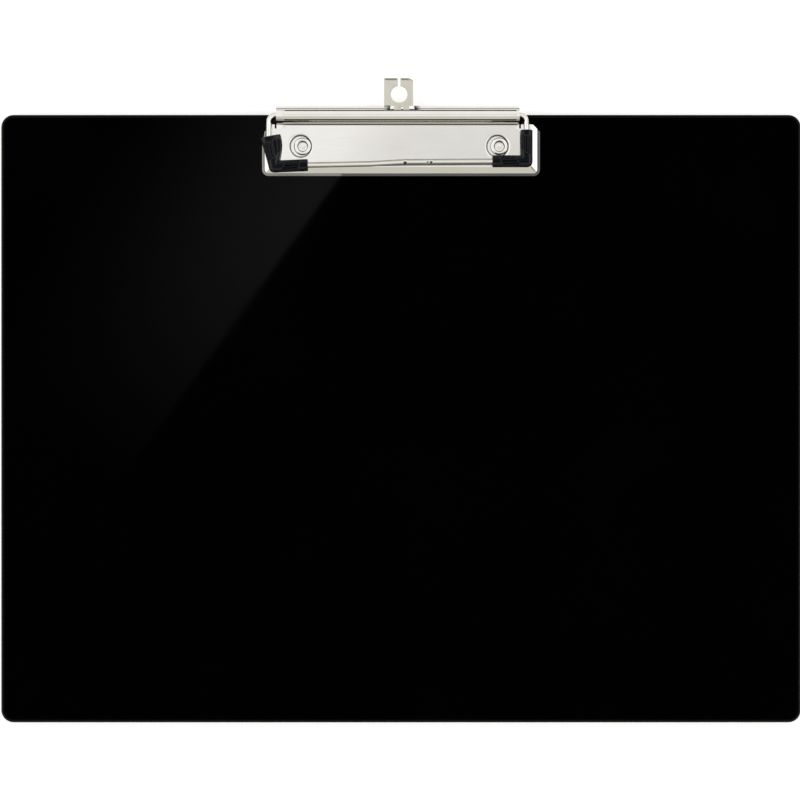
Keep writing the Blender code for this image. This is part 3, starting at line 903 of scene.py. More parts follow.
        # The left end narrows a little towards the rear.
        outermost = (-x - self.half_length + self.left_taper_width) / self.left_taper_width
        x = x + self.left_taper * smoothstep(outermost) * smoothstep(back)

        low = self.foot + self.sheet / 2.0
        height = low + (self.rise - self.sheet) * self.side_rise(inset)
        height = height - self.dimple_depth * sunk
        # The lip's outer edge curls down a little.
        curled = 1.0 - smoothstep(inset / self.lip / self.curl_share)
        height = height - self.curl * curled**2
        return np.stack([x, y, height], axis=-1), self.tray_painted_shade(x, y, inset, sunk)

    def tray_painted_shade(
        self, x: np.ndarray, y: np.ndarray, inset: np.ndarray, sunk: np.ndarray
    ) -> np.ndarray:
        """Painted shade and painted reflections at each point of the flat part.

        The lip is drawn dark, darker towards its inner bend and paler at its left end: a painted
        reflection. The dimples' walls, the seam in front of the barrel, the crease near the lip's
        inner edge and the crease at the right front corner are thin lines of painted shade.

        Args:
            x: across the plate.
            y: along the plate.
            inset: distance in from the outline.
            sunk: share of the dimples' depth.

        Returns:
            0 on open metal to 1 where the painted shade is full.
        """
        outer, inner = self.lip_shade_and_reflection
        lip = (outer + (inner - outer) * inset / self.lip) * (inset < self.lip - 0.1)
        darker_part = smoothstep((x - self.pale_lip) / self.pale_fade)
        lip = lip * (self.pale_share + (1.0 - self.pale_share) * darker_part)
        crease = 1.0 - smoothstep(np.abs(inset - self.lip + self.crease_inset) / self.crease)
        seam_start = self.shoulder - self.seam_shade[0]
        seam_shade = smoothstep((y - seam_start) / self.seam_shade[1]) * (np.abs(x) < self.seam_reach)
        on_wall = (sunk > self.wall_shares[0]) & (sunk < self.wall_shares[1])
        wall = np.where(on_wall, self.wall_painted_shade, 0.0)
        across = np.abs((self.half_length - x) - (y - self.front))
        corner = (1.0 - smoothstep(across / self.corner_crease)) * (inset < self.lip + self.slope)
        return np.maximum.reduce([lip, crease, seam_shade, wall, corner])

    def roll_profile(self) -> np.ndarray:
        """The rolled rear edge: a quadratic bend off the plate, then an arc about the axis.

        Returns:
            Rows of (angle in degrees, y, z). The bend's rows have the angle of the arc's start.
        """
        _, axis_y, axis_z = self.seat.axis_mm
        radius = self.barrel_radius - self.sheet / 2.0
        plate_z = self.foot + self.rise - self.sheet / 2.0
        first = np.array([self.shoulder, plate_z])
        meet = np.array([axis_y + radius * math.cos(math.radians(self.roll[0])), plate_z])
        before, within, after = self.roll_rows
        angles = lines(
            np.linspace(self.roll_bend_end, self.notch_angles[0], before),
            np.linspace(*self.notch_angles, within),
            np.linspace(self.notch_angles[1], self.roll[1], after),
        )
        turned = np.radians(angles)
        round_y = axis_y + radius * np.cos(turned)
        round_z = axis_z + radius * np.sin(turned)
        last = np.array([round_y[0], round_z[0]])
        t = np.linspace(0.0, 1.0, self.roll_bend_rows + 2)[1:-1, None]
        bend = (1 - t) ** 2 * first + 2 * t * (1 - t) * meet + t**2 * last
        bend = np.column_stack([np.full(len(bend), self.roll[0]), bend])
        return np.concatenate([bend, np.column_stack([angles, round_y, round_z])])

    def barrel(self) -> tuple[np.ndarray, np.ndarray]:
        """The roll's points, with the grid lines drawn in to the notch's slanted sides.

        A line moves in by the notch's taper for each millimetre behind the notch's front, in full
        on the notch's own edge and less with distance from it.

        Returns:
            The points and the angle of each row.
        """
        profile = self.roll_profile()
        angle = profile[:, 0]
        x = np.broadcast_to(self.plan_x(), (len(profile), len(self.plan_x()))).copy()
        _, axis_y, _ = self.seat.axis_mm
        back = (profile[:, 1] - axis_y - self.notch_front_y)[:, None]
        low, high = self.notch_angles
        fade = self.notch_blend_angle
        within = smoothstep((angle - low + fade) / fade)
        within = within * (1.0 - smoothstep((angle - high) / fade))
        pull = np.maximum(back, 0.0) * within[:, None]
        left, right = self.notch_front_x
        outer, inner = self.notch_blend, self.notch_middle_blend
        near_left = smoothstep((x - left + outer) / outer)
        near_left = near_left * (1.0 - smoothstep((x - left) / inner))
        near_right = smoothstep((right + outer - x) / outer)
        near_right = near_right * (1.0 - smoothstep((right - x) / inner))
        x += pull * (self.notch_taper[0] * near_left - self.notch_taper[1] * near_right)
        y = np.broadcast_to(profile[:, 1:2], x.shape)
        z = np.broadcast_to(profile[:, 2:3], x.shape)
        return np.stack([x, y, z], axis=-1), angle

    def roll_painted_shade(self, x: np.ndarray, angle: np.ndarray) -> np.ndarray:
        """Painted shade at each point of the roll.

        The bend under the barrel, the rolled end that faces it and the notch's edges are drawn
        dark: painted shade.

        Args:
            x: across the plate.
            angle: angle round the barrel, one for each row.

        Returns:
            0 on open metal to 1 where the painted shade is full.
        """
        bend = 1.0 - smoothstep((angle - self.roll[0] - self.bend_painted_shade[0]) / self.bend_painted_shade[1])
        end = smoothstep((angle - self.roll[1] + self.end_painted_shade[0]) / self.end_painted_shade[1])
        left, right = self.notch_front_x
        low, high = self.notch_angles
        beside = np.maximum(np.maximum(left - x, x - right), 0.0)
        past = np.maximum(np.maximum(low - angle, angle - high), 0.0)
        away = np.hypot(beside, np.radians(past) * self.barrel_radius)
        notch = 1.0 - smoothstep(away / self.notch_painted_shade)
        return np.maximum(np.maximum(bend, end), notch)

    def build(self) -> bpy.types.Object:
        """Build the plate as one sheet, with its holes, slits and notch left out of the grid.

        Returns:
            The plate.
        """
        tray, tray_shade = self.tray()
        roll, angle = self.barrel()
        # Painted shade of the flat part and of the roll, point by point.
        painted_shade = np.concatenate([tray_shade, self.roll_painted_shade(roll[..., 0], angle[:, None])])
        points = np.concatenate([tray, roll])
        line_x = self.plan_x()
        line_y = np.concatenate([self.plan_y(), np.zeros(len(angle))])
        turned = np.concatenate([np.zeros(len(tray)), angle])
        x = ((line_x[1:] + line_x[:-1]) / 2.0)[None]
        y = ((line_y[1:] + line_y[:-1]) / 2.0)[:, None]
        around = ((turned[1:] + turned[:-1]) / 2.0)[:, None]
        on_roll = (np.arange(len(points) - 1) >= len(tray) - 1)[:, None]

        off_x = np.abs(np.abs(x) - self.rivet_x)
        hole = np.maximum(off_x, np.abs(y - self.rivet_y)) < self.rivet_hole
        left, right = self.barrel_ends
        slit, length = self.relief
        beyond = (x < left) | (x > right)
        slits = ((x > left - slit) & (x < left)) | ((x > right) & (x < right + slit))
        slits = slits & (y > self.shoulder - length)
        low, high = self.notch_angles
        notch = (around > low) & (around < high) & on_roll
        notch = notch & (x > self.notch_front_x[0]) & (x < self.notch_front_x[1])
        keep = ~((hole & ~on_roll) | (beyond & on_roll) | (slits & ~on_roll) | notch)
        patch = Patch(points[:, ::-1], keep[:, ::-1], painted_shade=painted_shade[:, ::-1])
        piece = build_piece("clip_plate", [patch], self.seat.origin, Outward.SHEET, self.sharp)
        give_thickness(piece, self.sheet, self.cut_edge)
        return piece


# ------------------------------------------------------------------ rivets


@dataclass
class Rivet:
    """A semi-tubular rivet: its hollow end is rolled over on top, its head is underneath."""

    seat: Seat
    x: float
    y: float = RIVET_Y
    crown: float = 1.85
    flange: float = 3.5
    flange_under: float = 1.3
    bore: float = 1.95
    bore_depth: float = 2.2
    shank: float = 2.45
    bore_round: float = 0.35
    floor_cone: Pair = (0.05, 0.03)
    head_low: float = -3.05
    head_high: float = -2.5
    head_round: Pair = (0.25, 0.2)
    steps: int = 72
    swell: float = 0.01
    # How dark the painted shade on the bore's wall and the flange's edge is, and how wide.
    painted_shade: float = 0.9
    painted_shade_width: float = 0.12

    def profile(self) -> np.ndarray:
        """Radius and height from the bore's floor, over the rolled rim, to the head's centre.

        Returns:
            Points by 2.
        """
        floor = self.crown - self.bore_depth
        crest = (self.bore + self.flange) / 2.0 - 0.15
        middle = (crest, self.flange_under)
        rise = self.crown - self.flange_under
        corner, (wide, tall) = self.bore_round, self.head_round
        return np.concatenate(
            [
                np.array([[0.0, floor + self.floor_cone[0]], [1.0, floor + self.floor_cone[1]]]),
                arc((self.bore - corner, floor + corner), (corner, corner), -90.0, 0.0, 6),
                arc(middle, (crest - self.bore, rise), 180.0, 90.0, 9),
                arc(middle, (self.flange - crest, rise), 90.0, 6.0, 10)[1:],
                np.array([[self.flange - 0.08, self.flange_under]]),
                np.array([[self.shank, self.flange_under], [self.shank, self.head_high]]),
                np.array([[self.flange - 0.1, self.head_high]]),
                arc((self.flange - wide, self.head_low + 0.3), (wide, tall), 30.0, -90.0, 7),
                np.array([[1.8, self.head_low], [0.0, self.head_low]]),
            ]
        )

    def build(self, name: str) -> bpy.types.Object:
        """Build the rivet.

        Args:
            name: the piece's name.

        Returns:
            The rivet.
        """
        points = turn_profile(self.profile(), self.steps)
        angle = np.linspace(0.0, 2.0 * math.pi, self.steps, endpoint=False)
        # A rolled rim is never a true circle: its radius swells a little in three places.
        swell = 1.0 + self.swell * np.cos(3.0 * angle + self.x)
        rolled = points[..., 2] > self.flange_under - SLACK
        rolled = (rolled & (np.hypot(points[..., 0], points[..., 1]) > self.bore))[..., None]
        grown = points * np.stack([swell, swell, np.ones_like(swell)], axis=-1)[None]
        radius, height = self.profile().T
        # The bore's wall and the flange's edge are drawn dark: painted shade.
        in_bore = (np.abs(radius - self.bore) < self.painted_shade_width) & (height < self.crown - 0.25)
        at_edge = radius > self.flange - self.painted_shade_width
        painted_shade = np.where(in_bore | at_edge, self.painted_shade, 0.0)
        painted_shade = np.broadcast_to(painted_shade[:, None], points.shape[:2])
        points = np.where(rolled, grown, points) + np.array([self.x, self.y, 0.0])
        patch = Patch(points, round_columns=True, painted_shade=painted_shade)
        return build_piece(name, [patch], self.seat.origin)


# ------------------------------------------------------------------ bail


@dataclass
class Bail:
    """The closed wire loop. Its corners are (x, distance forward of the axis, bend radius)."""

    seat: Seat
    wire: float = 1.1
    rise: float = 1.1
    rise_end: float = 6.0
    step: float = 0.25
    sides: int = 32
    corners: tuple[Corner, ...] = (
        (-52.1, 0.0, 3.0),
        (-52.4, 8.7, 8.0),
        (-49.9, 20.6, 2.8),
        (-36.8, 20.0, 0.0),
        (-12.0, 19.5, 30.0),
        (2.0, 18.7, 30.0),
        (36.1, 18.5, 0.0),
        (49.6, 18.5, 2.8),
        (49.6, 6.1, 12.0),
        (49.3, 0.0, 2.6),
        (36.0, 0.0, 2.0),
        (34.0, -0.5, 2.0),
        (14.0, -0.5, 2.0),
        (12.0, 0.0, 2.0),
    )
    front_run: float = 15.0
    # The weld's middle, half its length and how many times as thick it is, then each pit's
    # (x, y, width).
    weld: Corner = (6.6, 5.0, 1.015)
    pits: tuple[Corner, ...] = ((1.6, -0.6, 0.62), (10.5, -0.3, 0.3), (11.9, -0.4, 0.5))
    pit_depth: float = 0.7
    # Painted shade in the weld pits; then a painted reflection along the front run's front side:
    # where it starts, how wide its fade is, and how dark it is.
    pit_painted_shade: float = 1.8
    front_line: Pair = (0.72, 0.14)
    front_line_painted_reflection: float = 0.85

    def climb(self, forward: np.ndarray) -> np.ndarray:
        """Height above the axis: a smooth rise over the first stretch of each arm."""
        return self.rise * smoothstep(forward / self.rise_end)

    def build_wire(self) -> bpy.types.Object:
        """Carry a circle along the wire's path, with small pits where its ends were welded.

        A pit draws the radius in by depth * width * exp(-(distance / width)^2).

        Returns:
            The wire.
        """
        flat = bent_path(self.corners, True, self.step)
        path = np.column_stack([flat[:, 0], -flat[:, 1], self.climb(flat[:, 1])])
        tangent = np.roll(path, -1, axis=0) - np.roll(path, 1, axis=0)
        tangent /= np.linalg.norm(tangent, axis=1)[:, None]
        side = np.cross(tangent, [0.0, 0.0, 1.0])
        side /= np.linalg.norm(side, axis=1)[:, None]
        up = np.cross(side, tangent)
        angle = np.linspace(0.0, 2.0 * math.pi, self.sides, endpoint=False)
        radius = np.full((len(path), self.sides), self.wire)
        on_front = (flat[:, 1] > self.front_run)[:, None]
        across = self.wire * np.cos(angle)[None] * np.sign(side[:, 1:2])
        upper = (np.sin(angle) > 0.0)[None]
        painted_shade = np.zeros_like(radius)
        for x, y, width in self.pits:
            gap = np.hypot(flat[:, :1] - x, across - y)
            dent = np.exp(-((gap / width) ** 2)) * (on_front & upper)
            radius = radius - self.pit_depth * width * dent
            # The pits are drawn dark: painted shade.
            painted_shade = np.maximum(painted_shade, smoothstep(self.pit_painted_shade * dent))
        # The front run's front side is drawn dark, as a thin line that it seems to mirror: a
        # painted reflection.
        start, width = self.front_line
        on_line = smoothstep((-across / self.wire - start) / width) * on_front
        painted_shade = np.maximum(painted_shade, self.front_line_painted_reflection * on_line)
        middle, half, proud = self.weld
        on_weld = np.abs(flat[:, :1] - middle) < half
        radius = radius * np.where(on_front & on_weld, proud, 1.0)
        ring = np.cos(angle)[None, :, None] * side[:, None]
        ring = ring + np.sin(angle)[None, :, None] * up[:, None]
        points = path[:, None] + radius[..., None] * ring
        patch = Patch(points, round_rows=True, round_columns=True, painted_shade=painted_shade)
        return build_piece("wire_loop", [patch], self.seat.axis)


@dataclass
class CornerSleeve:
    """A ribbed rubber elbow: two mitred legs with plain collars and a plain round corner."""

    seat: Seat
    start: Pair
    corner: Pair
    end: Pair
    height: float = 1.1
    radius: float = 2.4
    bore: float = 1.3
    squareness: float = 2.4
    ribs: int = 14
    groove: float = 0.45
    groove_power: float = 1.6
    collars: Pair = (2.3, 3.4)
    knee: float = 3.4
    knee_drawn: float = 0.85
    rim: float = 0.3
    blend: float = 0.4
    twist: float = 0.0
    twist_out: float = 0.45
    twist_drop: float = 0.35
    twist_power: float = 1.5
    sides: int = 112
    sharp: float = 60.0

    def offsets(self, plain: np.ndarray, shrink: np.ndarray) -> tuple[np.ndarray, np.ndarray]:
        """Section offsets: a squared circle, |cos|^n + |sin|^n = 1, with cosine grooves.

        Args:
            plain: for each row, 1 where the leg is plain and 0 where it is ribbed.
            shrink: for each row, how far its outline is drawn in, in millimetres.

        Returns:
            Sideways and upward offsets, rows by sides.
        """
        angle = np.linspace(0.0, 2.0 * math.pi, self.sides, endpoint=False)
        n = self.squareness
        square = (np.abs(np.cos(angle)) ** n + np.abs(np.sin(angle)) ** n) ** (-1.0 / n)
        rib = 0.5 - 0.5 * np.cos(self.ribs * angle)
        cut = self.groove * (1.0 - plain)[:, None] * (rib**self.groove_power)[None]
        radius = self.radius * square[None] - cut - shrink[:, None]
        return radius * np.cos(angle), radius * np.sin(angle)

    def leg(
        self,
        free: np.ndarray,
        normal: np.ndarray,
        mitre: np.ndarray,
        collar: float,
        twist: float = 0.0,
    ) -> np.ndarray:
        """Outer rows of one leg, from its free end to the mitre.

        The side vector turns evenly from the leg's own normal to the mitre vector, and what
        passes the corner on its outer side is drawn back towards a circle about the corner.

        Args:
            free: the free end.
            normal: unit vector across the leg.
            mitre: vector to the mitre for a unit offset.
            collar: length of the plain collar at the free end.
            twist: how far the inner side bulges where the leg is twisted on the wire.

        Returns:
            Rows by sides by 3.
        """
        corner = np.array(self.corner)
        length = float(np.linalg.norm(corner - free))
        along = (corner - free) / length
        knee = length - self.knee
        # Rows stand close together at the rim, where ribs begin and end, and at the corner.
        place = np.concatenate(
            [
                self.rim * np.array([0.0, 0.2, 0.5, 1.0]),
                np.linspace(0.6, collar - 0.6, 3),
                np.linspace(collar - self.blend, collar + 0.5, 5),
                np.linspace(collar + 0.9, knee - 0.6, 12),
                np.linspace(knee - self.blend, knee + 0.5, 5),
                np.linspace(knee + 0.8, length, 16),
            ]
        )
        ribbed = smoothstep((place - collar + self.blend) / (2.0 * self.blend))
        ribbed = ribbed * (1.0 - smoothstep((place - knee + self.blend) / (2.0 * self.blend)))
        # The free end is rounded by a quarter circle.
        from_rim = np.clip(1.0 - place / self.rim, 0.0, 1.0)
        shrink = self.rim * (1.0 - np.sqrt(1.0 - from_rim**2))
        across, upward = self.offsets(1.0 - ribbed, shrink)
        share = (place / length)[:, None, None]
        gone = share[..., 0]
        # A twisted leg is widest at its free end, and its inner side sags.
        inward = np.clip(-across / self.radius, 0.0, 1.0) ** self.twist_power
        outward = np.clip(across / self.radius, 0.0, 1.0) ** self.twist_power
        across = across - twist * inward * (1.0 - gone**3)
        across = across + self.twist_out * twist * outward * (1.0 - gone) ** 2
        raised = np.clip(upward / self.radius, 0.0, 1.0)
        upward = upward - self.twist_drop * twist * inward * raised
        centre = free + (corner - free) * share
        sideways = normal + (mitre - normal) * share
        flat = centre + across[..., None] * sideways
        out = flat - corner
        past = (out @ along) > 0.0
        reach = np.linalg.norm(out, axis=-1)
        drawn = np.abs(across) / np.where(reach > 0.0, reach, 1.0)
        factor = np.where(past, 1.0 + self.knee_drawn * (np.minimum(drawn, 1.0) - 1.0), 1.0)
        flat = corner + out * factor[..., None]
        return np.concatenate([flat, upward[..., None]], axis=-1)

    def bore_rows(self, normals: tuple[np.ndarray, ...], mitre: np.ndarray) -> np.ndarray:
        """The bore as three rings: at one end, at the mitre and at the other end.

        Args:
            normals: unit vector across each leg.
            mitre: vector to the mitre for a unit offset.

        Returns:
            3 by sides by 3.
        """
        angle = np.linspace(0.0, 2.0 * math.pi, self.sides, endpoint=False)
        across, upward = self.bore * np.cos(angle), self.bore * np.sin(angle)
        rows = []
        for place, sideways in zip(
            (self.start, self.corner, self.end), (normals[0], mitre, normals[1])
        ):
            flat = np.array(place) + across[:, None] * sideways
            rows.append(np.column_stack([flat, upward]))
        return np.stack(rows)

    def build(self, name: str) -> bpy.types.Object:
        """Build the sleeve as one closed tube: outside there, bore back.

        Args:
            name: the piece's name.

        Returns:
            The sleeve.
        """
        start, corner, end = (np.array(p) for p in (self.start, self.corner, self.end))
        first = (corner - start) / np.linalg.norm(corner - start)
        second = (end - corner) / np.linalg.norm(end - corner)
        normals = tuple(np.array([-way[1], way[0]]) for way in (first, second))
        mitre = (normals[0] + normals[1]) / (1.0 + float(normals[0] @ normals[1]))
        go = self.leg(start, normals[0], mitre, self.collars[0], self.twist)
        back = self.leg(end, normals[1], mitre, self.collars[1])[::-1]
        bore = self.bore_rows(normals, mitre)[::-1]
        rows = np.concatenate([go, back[1:], bore])
        rows = rows * np.array([1.0, -1.0, 1.0]) + np.array([0.0, 0.0, self.height])
        patch = Patch(rows, round_rows=True, round_columns=True)
        return build_piece(name, [patch], self.seat.axis, sharp=self.sharp)


# ------------------------------------------------------------------ hanging tab


@dataclass
class HangingTab:
    """The sheet tab: keyhole, two necks, and a knuckle curled round the wire."""

    seat: Seat
    sheet: float = 0.6
    cut_edge: float = 0.1
    sharp: float = 50.0
    left: float = -6.75
    right: float = 4.9
    end: float = 14.7
    shoulder: float = 3.75
    slit_end: float = 3.15
    corner: float = 1.0
    hole_x: float = -0.75
    hole_y: float = 8.2
    hole: float = 3.25
    slot: float = 0.45
    neck: Pair = (-2.8, 3.2)
    neck_blend: float = 0.25
    slit: Pair = (0.0, 0.9)
    knuckle: float = 1.7
    knuckle_end: float = -375.0
    knuckle_rows: int = 39
    ring_steps: tuple[float, ...] = (0.45, 1.2, 2.0, 2.7, 3.25, 3.6, 4.2)
    tip: float = 1.8
    tip_bend: float = 1.2
    tip_drop: float = 0.4

    def build(self) -> bpy.types.Object:
        """Build the tab from its free edge, through the necks, and round the wire.

        Returns:
            The tab.
        """
        line_x = lines(
            np.array([self.left, self.left + 0.8, self.right]),
            both_ways(self.ring_steps, self.hole_x),
        )
        flat_y = lines(
            both_ways(self.ring_steps, self.hole_y),
            np.array([0.0, 1.0, 2.0, self.slit_end, self.shoulder]),
            np.linspace(self.end - self.tip, self.end, 13),
        )[::-1]
        angle = np.radians(np.linspace(-90.0, self.knuckle_end, self.knuckle_rows + 1))[1:]
        x, y = np.meshgrid(line_x, np.concatenate([flat_y, np.zeros(len(angle))]))
        rows = len(flat_y)
        outer = self.ring_steps[-1]
        off_x, off_y = x - self.hole_x, y - self.hole_y
        inside = np.maximum(np.abs(off_x), np.abs(off_y)) <= outer
        moved = ring_warp(off_x, off_y, self.ring_steps[-2], outer)
        warped_x = np.where(inside, moved[0] + self.hole_x, x)
        warped_y = np.where(inside, moved[1] + self.hole_y, y)

        # The neck's edges and its slit take the grid lines that lie nearest to them.
        neck_left = self.hole_x - self.ring_steps[2]
        neck_right = self.hole_x + self.ring_steps[5]
        slot = (self.hole_x - self.slot, self.hole_x + self.slot)
        from_x = [self.left, neck_left, *slot, neck_right, self.right]
        to_x = [self.left, self.neck[0], *self.slit, self.neck[1], self.right]
        in_neck = 1.0 - smoothstep((y - self.shoulder) / self.neck_blend)
        warped_x = warped_x + in_neck * (np.interp(x, from_x, to_x) - x)
        cut = np.maximum(x - (self.right - self.corner), 0.0)
        warped_y = warped_y - cut * smoothstep((y - self.end + self.tip) / self.tip)

        z = np.full_like(x, -self.knuckle)
        z -= self.tip_drop * smoothstep((y - self.end + self.tip_bend) / self.tip_bend)
        points = np.stack([warped_x, warped_y, z], axis=-1)
        points[rows:, :, 1] = (self.knuckle * np.cos(angle))[:, None]
        points[rows:, :, 2] = (self.knuckle * np.sin(angle))[:, None]

        mid_x = ((line_x[1:] + line_x[:-1]) / 2.0)[None]
        line_y = y[:, 0]
        mid_y = ((line_y[1:] + line_y[:-1]) / 2.0)[:, None]
        loop = np.maximum(np.abs(mid_x - self.hole_x), np.abs(mid_y - self.hole_y))
        in_slot = (np.abs(mid_x - self.hole_x) < self.slot) & (mid_y > self.hole_y)
        beside_neck = (mid_x < neck_left) | (mid_x > neck_right)
        beside_neck = beside_neck & (mid_y < self.shoulder)
        in_slit = (np.abs(mid_x - self.hole_x) < self.slot) & (mid_y < self.slit_end)
        keep = ~((loop < self.hole) | in_slot | beside_neck | in_slit)
        patch = Patch(points, keep)
        piece = build_piece("tab_plate", [patch], self.seat.axis, Outward.SHEET, self.sharp)
        give_thickness(piece, self.sheet, self.cut_edge)
        return piece


# ------------------------------------------------------------------ studio

# The room's walls, as (angle from straight up as a share of a right angle, colour).
ROOM_FRONT = (
    (0.0, "#6C6C6C"),
    (0.26, "#6C6C6C"),
    (0.31, "#C2C0B8"),
    (0.62, "#BBB9B1"),
    (0.70, "#96948A"),
    (0.90, "#8A8A84"),
    (1.0, "#8A8A84"),
)
ROOM_REAR = (
    (0.0, "#6C6C6C"),
    (0.44, "#6C6C6C"),
    (0.50, "#CECECC"),
    (0.75, "#CECECC"),
    (0.85, "#9A9A98"),
    (1.0, "#8E8E8C"),
)
ROOM_SIDES = (
    (0.0, "#6C6C6C"),
    (0.4, "#787878"),
    (0.5, "#FFFFFF"),
    (0.74, "#FFFFFF"),
    (0.84, "#A4A4A4"),
    (1.0, "#949494"),
)
CARD_BLACK = "#0A0A09"


def soft_mask(tree: bpy.types.NodeTree, edges: list[tuple[Socket, float, float]]) -> Socket:
    """The product of soft steps, 1 where all of them are 1.

    Args:
        tree: the node tree.
        edges: for each step its value, and where that is when the step is 0 and when it is 1.

    Returns:
        The product.
    """
    share = None
    for value, start, end in edges:
        inputs = {"Value": value, "From Min": start, "From Max": end}
        step = add_node(
            tree, "ShaderNodeMapRange", inputs, interpolation_type="SMOOTHSTEP"
        ).outputs["Result"]
        if share is None:
            share = step
        else:
            product = add_node(tree, "ShaderNodeMath", {0: share, 1: step}, operation="MULTIPLY")
            share = product.outputs[0]
    return share


@dataclass
class Studio:
    """Pale floor, soft pale room, and the camera straight above the board."""

    seat: Seat
    lens: float = 135.0
    sensor: float = 36.0
    view_width: float = 317.5
    aim: Pair = (-0.4, 7.4)
    floor_size: float = 24.0
    floor_gap: float = 0.0002
    floor_glow: float = 0.55
    floor_roughness: float = 0.9
    softbox_height: float = 1.6
    softbox_near: float = -0.71
    softbox_far: float = 1.44
    softbox_side: float = 1.35
    softbox_radiance: float = 0.92
    sky_strength: float = 1.5
    # The room's dark cards, each edge as (where it is clear, where it is dark).
    card_side: Pair = (0.085, 0.07)
    card_lean: float = 0.05
    rear_card: tuple[Pair, Pair] = ((0.445, 0.46), (0.63, 0.61))
    front_card: tuple[Pair, Pair] = ((0.69, 0.73), (0.92, 0.87))
    overhead_side: Pair = (0.146, 0.142)
    overhead_rear: Pair = (0.1025, 0.0985)
    overhead_front: Pair = (-0.122, -0.118)
    horizon: Pair = (0.0, 0.02)
    # The slanted panel: weights of its two directions on a plane one unit up, and its edges.
    panel_across: Corner = (-0.811, 0.585, -0.0595)
    panel_along: Corner = (0.585, 0.811, 0.0)
    panel_edge: Pair = (-0.0005, 0.001)
    panel_fade: Pair = (0.075, 0.0)
    panel_end: Pair = (-0.085, 0.045)

    def build_floor(self) -> None:
        """Lay the floor under the board: white studio paper, matt, and lit a little from below."""
        half = self.floor_size / 2.0
        corners = [(-half, -half, 0.0), (half, -half, 0.0), (half, half, 0.0), (-half, half, 0.0)]
        mesh = bpy.data.meshes.new("floor")
        mesh.from_pydata(corners, [], [(0, 1, 2, 3)])
        floor = bpy.data.objects.new("floor", mesh)
        bpy.context.scene.collection.objects.link(floor)
        material, _, shader = new_finish("white_studio_paper")
        shader.inputs["Base Color"].default_value = linear("#F4F4F2")
        shader.inputs["Roughness"].default_value = self.floor_roughness
        shader.inputs["Emission Color"].default_value = linear("#FFFFFF")
        shader.inputs["Emission Strength"].default_value = self.floor_glow
        mesh.materials.append(material)
        floor.location.z = self.seat.board_low[2] - self.floor_gap

    def build_camera(self) -> None:
        """Hang the camera so that the board's length fills the frame's width."""
        data = bpy.data.cameras.new("camera")
        data.lens = self.lens
        data.sensor_width = self.sensor
        camera = bpy.data.objects.new("camera", data)
        distance = self.view_width * MM * self.lens / self.sensor
        height = self.seat.board_high[2] + distance
        camera.location = (self.aim[0] * MM, self.aim[1] * MM, height)
        bpy.context.scene.collection.objects.link(camera)
        bpy.context.scene.camera = camera

    def build_room(self) -> None:
        """Light the scene with a pale room that holds a few dark cards.

        The room's colour depends on direction alone: on the angle from straight up, as a share of
        a right angle, and on which way the direction leans.
        """
        world = bpy.data.worlds.new("studio")
        bpy.context.scene.world = world
        world.use_nodes = True
        tree = world.node_tree
        background = tree.nodes["Background"]
        way = add_node(tree, "ShaderNodeTexCoord", {}).outputs["Generated"]
        part = add_node(tree, "ShaderNodeSeparateXYZ", {"Vector": way})
        x, y, z = (part.outputs[k] for k in ("X", "Y", "Z"))
        aside = add_node(tree, "ShaderNodeMath", {0: x}, operation="ABSOLUTE").outputs[0]
        tilt = add_node(tree, "ShaderNodeMath", {0: z}, operation="ARCCOSINE").outputs[0]
        right_angle = math.pi / 2.0
        from_top = add_node(
            tree, "ShaderNodeMath", {0: tilt, 1: right_angle}, operation="DIVIDE"
        ).outputs[0]
        level = add_node(
            tree, "ShaderNodeVectorMath", {0: way, 1: (1.0, 1.0, 0.0)}, operation="MULTIPLY"
        ).outputs[0]
        lean = add_node(tree, "ShaderNodeVectorMath", {0: level}, operation="NORMALIZE")
        lean = add_node(tree, "ShaderNodeSeparateXYZ", {"Vector": lean.outputs[0]})
        sideways = add_node(tree, "ShaderNodeMath", {0: lean.outputs["X"]}, operation="ABSOLUTE")

        walls = []
        for stops in (ROOM_FRONT, ROOM_REAR, ROOM_SIDES):
            ramp = add_node(tree, "ShaderNodeValToRGB", {"Fac": from_top})
            points = ramp.color_ramp.elements
            while len(points) < len(stops):
                points.new(0.5)
            for point, (place, code) in zip(points, stops):
                point.position = place
                point.color = linear(code)
            walls.append(ramp.outputs["Color"])
        front, rear, sides = walls
        to_rear = soft_mask(tree, [(lean.outputs["Y"], -0.15, 0.15)])
        to_sides = soft_mask(tree, [(sideways.outputs[0], 0.5, 0.85)])

        # Two narrow dark cards draw the thin dark lines along the barrel.
        cards = []
        leans = (self.card_lean, -self.card_lean)
        for lean_end, edges in zip(leans, (self.rear_card, self.front_card)):
            steps = [(aside, *self.card_side), (y, 0.0, lean_end)]
            cards.append(soft_mask(tree, steps + [(from_top, *edge) for edge in edges]))

        # A dark card hangs over the board, so that the camera sees the acrylic black. Its edges
        # are measured on a plane one unit up.
        up = add_node(tree, "ShaderNodeMath", {0: z, 1: 0.05}, operation="MAXIMUM").outputs[0]
        plane = add_node(
            tree, "ShaderNodeVectorMath", {0: way, 1: up}, operation="DIVIDE"
        ).outputs[0]
        spot = add_node(tree, "ShaderNodeSeparateXYZ", {"Vector": plane})
        out = add_node(tree, "ShaderNodeMath", {0: spot.outputs["X"]}, operation="ABSOLUTE")
        overhead = [
            (out.outputs[0], *self.overhead_side),
            (spot.outputs["Y"], *self.overhead_rear),
            (spot.outputs["Y"], *self.overhead_front),
            (z, *self.horizon),
        ]
        colour = layer(
            tree,
            front,
            [
                (to_rear, rear),
                (to_sides, sides),
                *((card, linear(CARD_BLACK)) for card in cards),
                (soft_mask(tree, overhead), self.overhead_card(tree, plane)),
            ],
        )
        tree.links.new(colour, background.inputs["Color"])
        background.inputs["Strength"].default_value = self.sky_strength

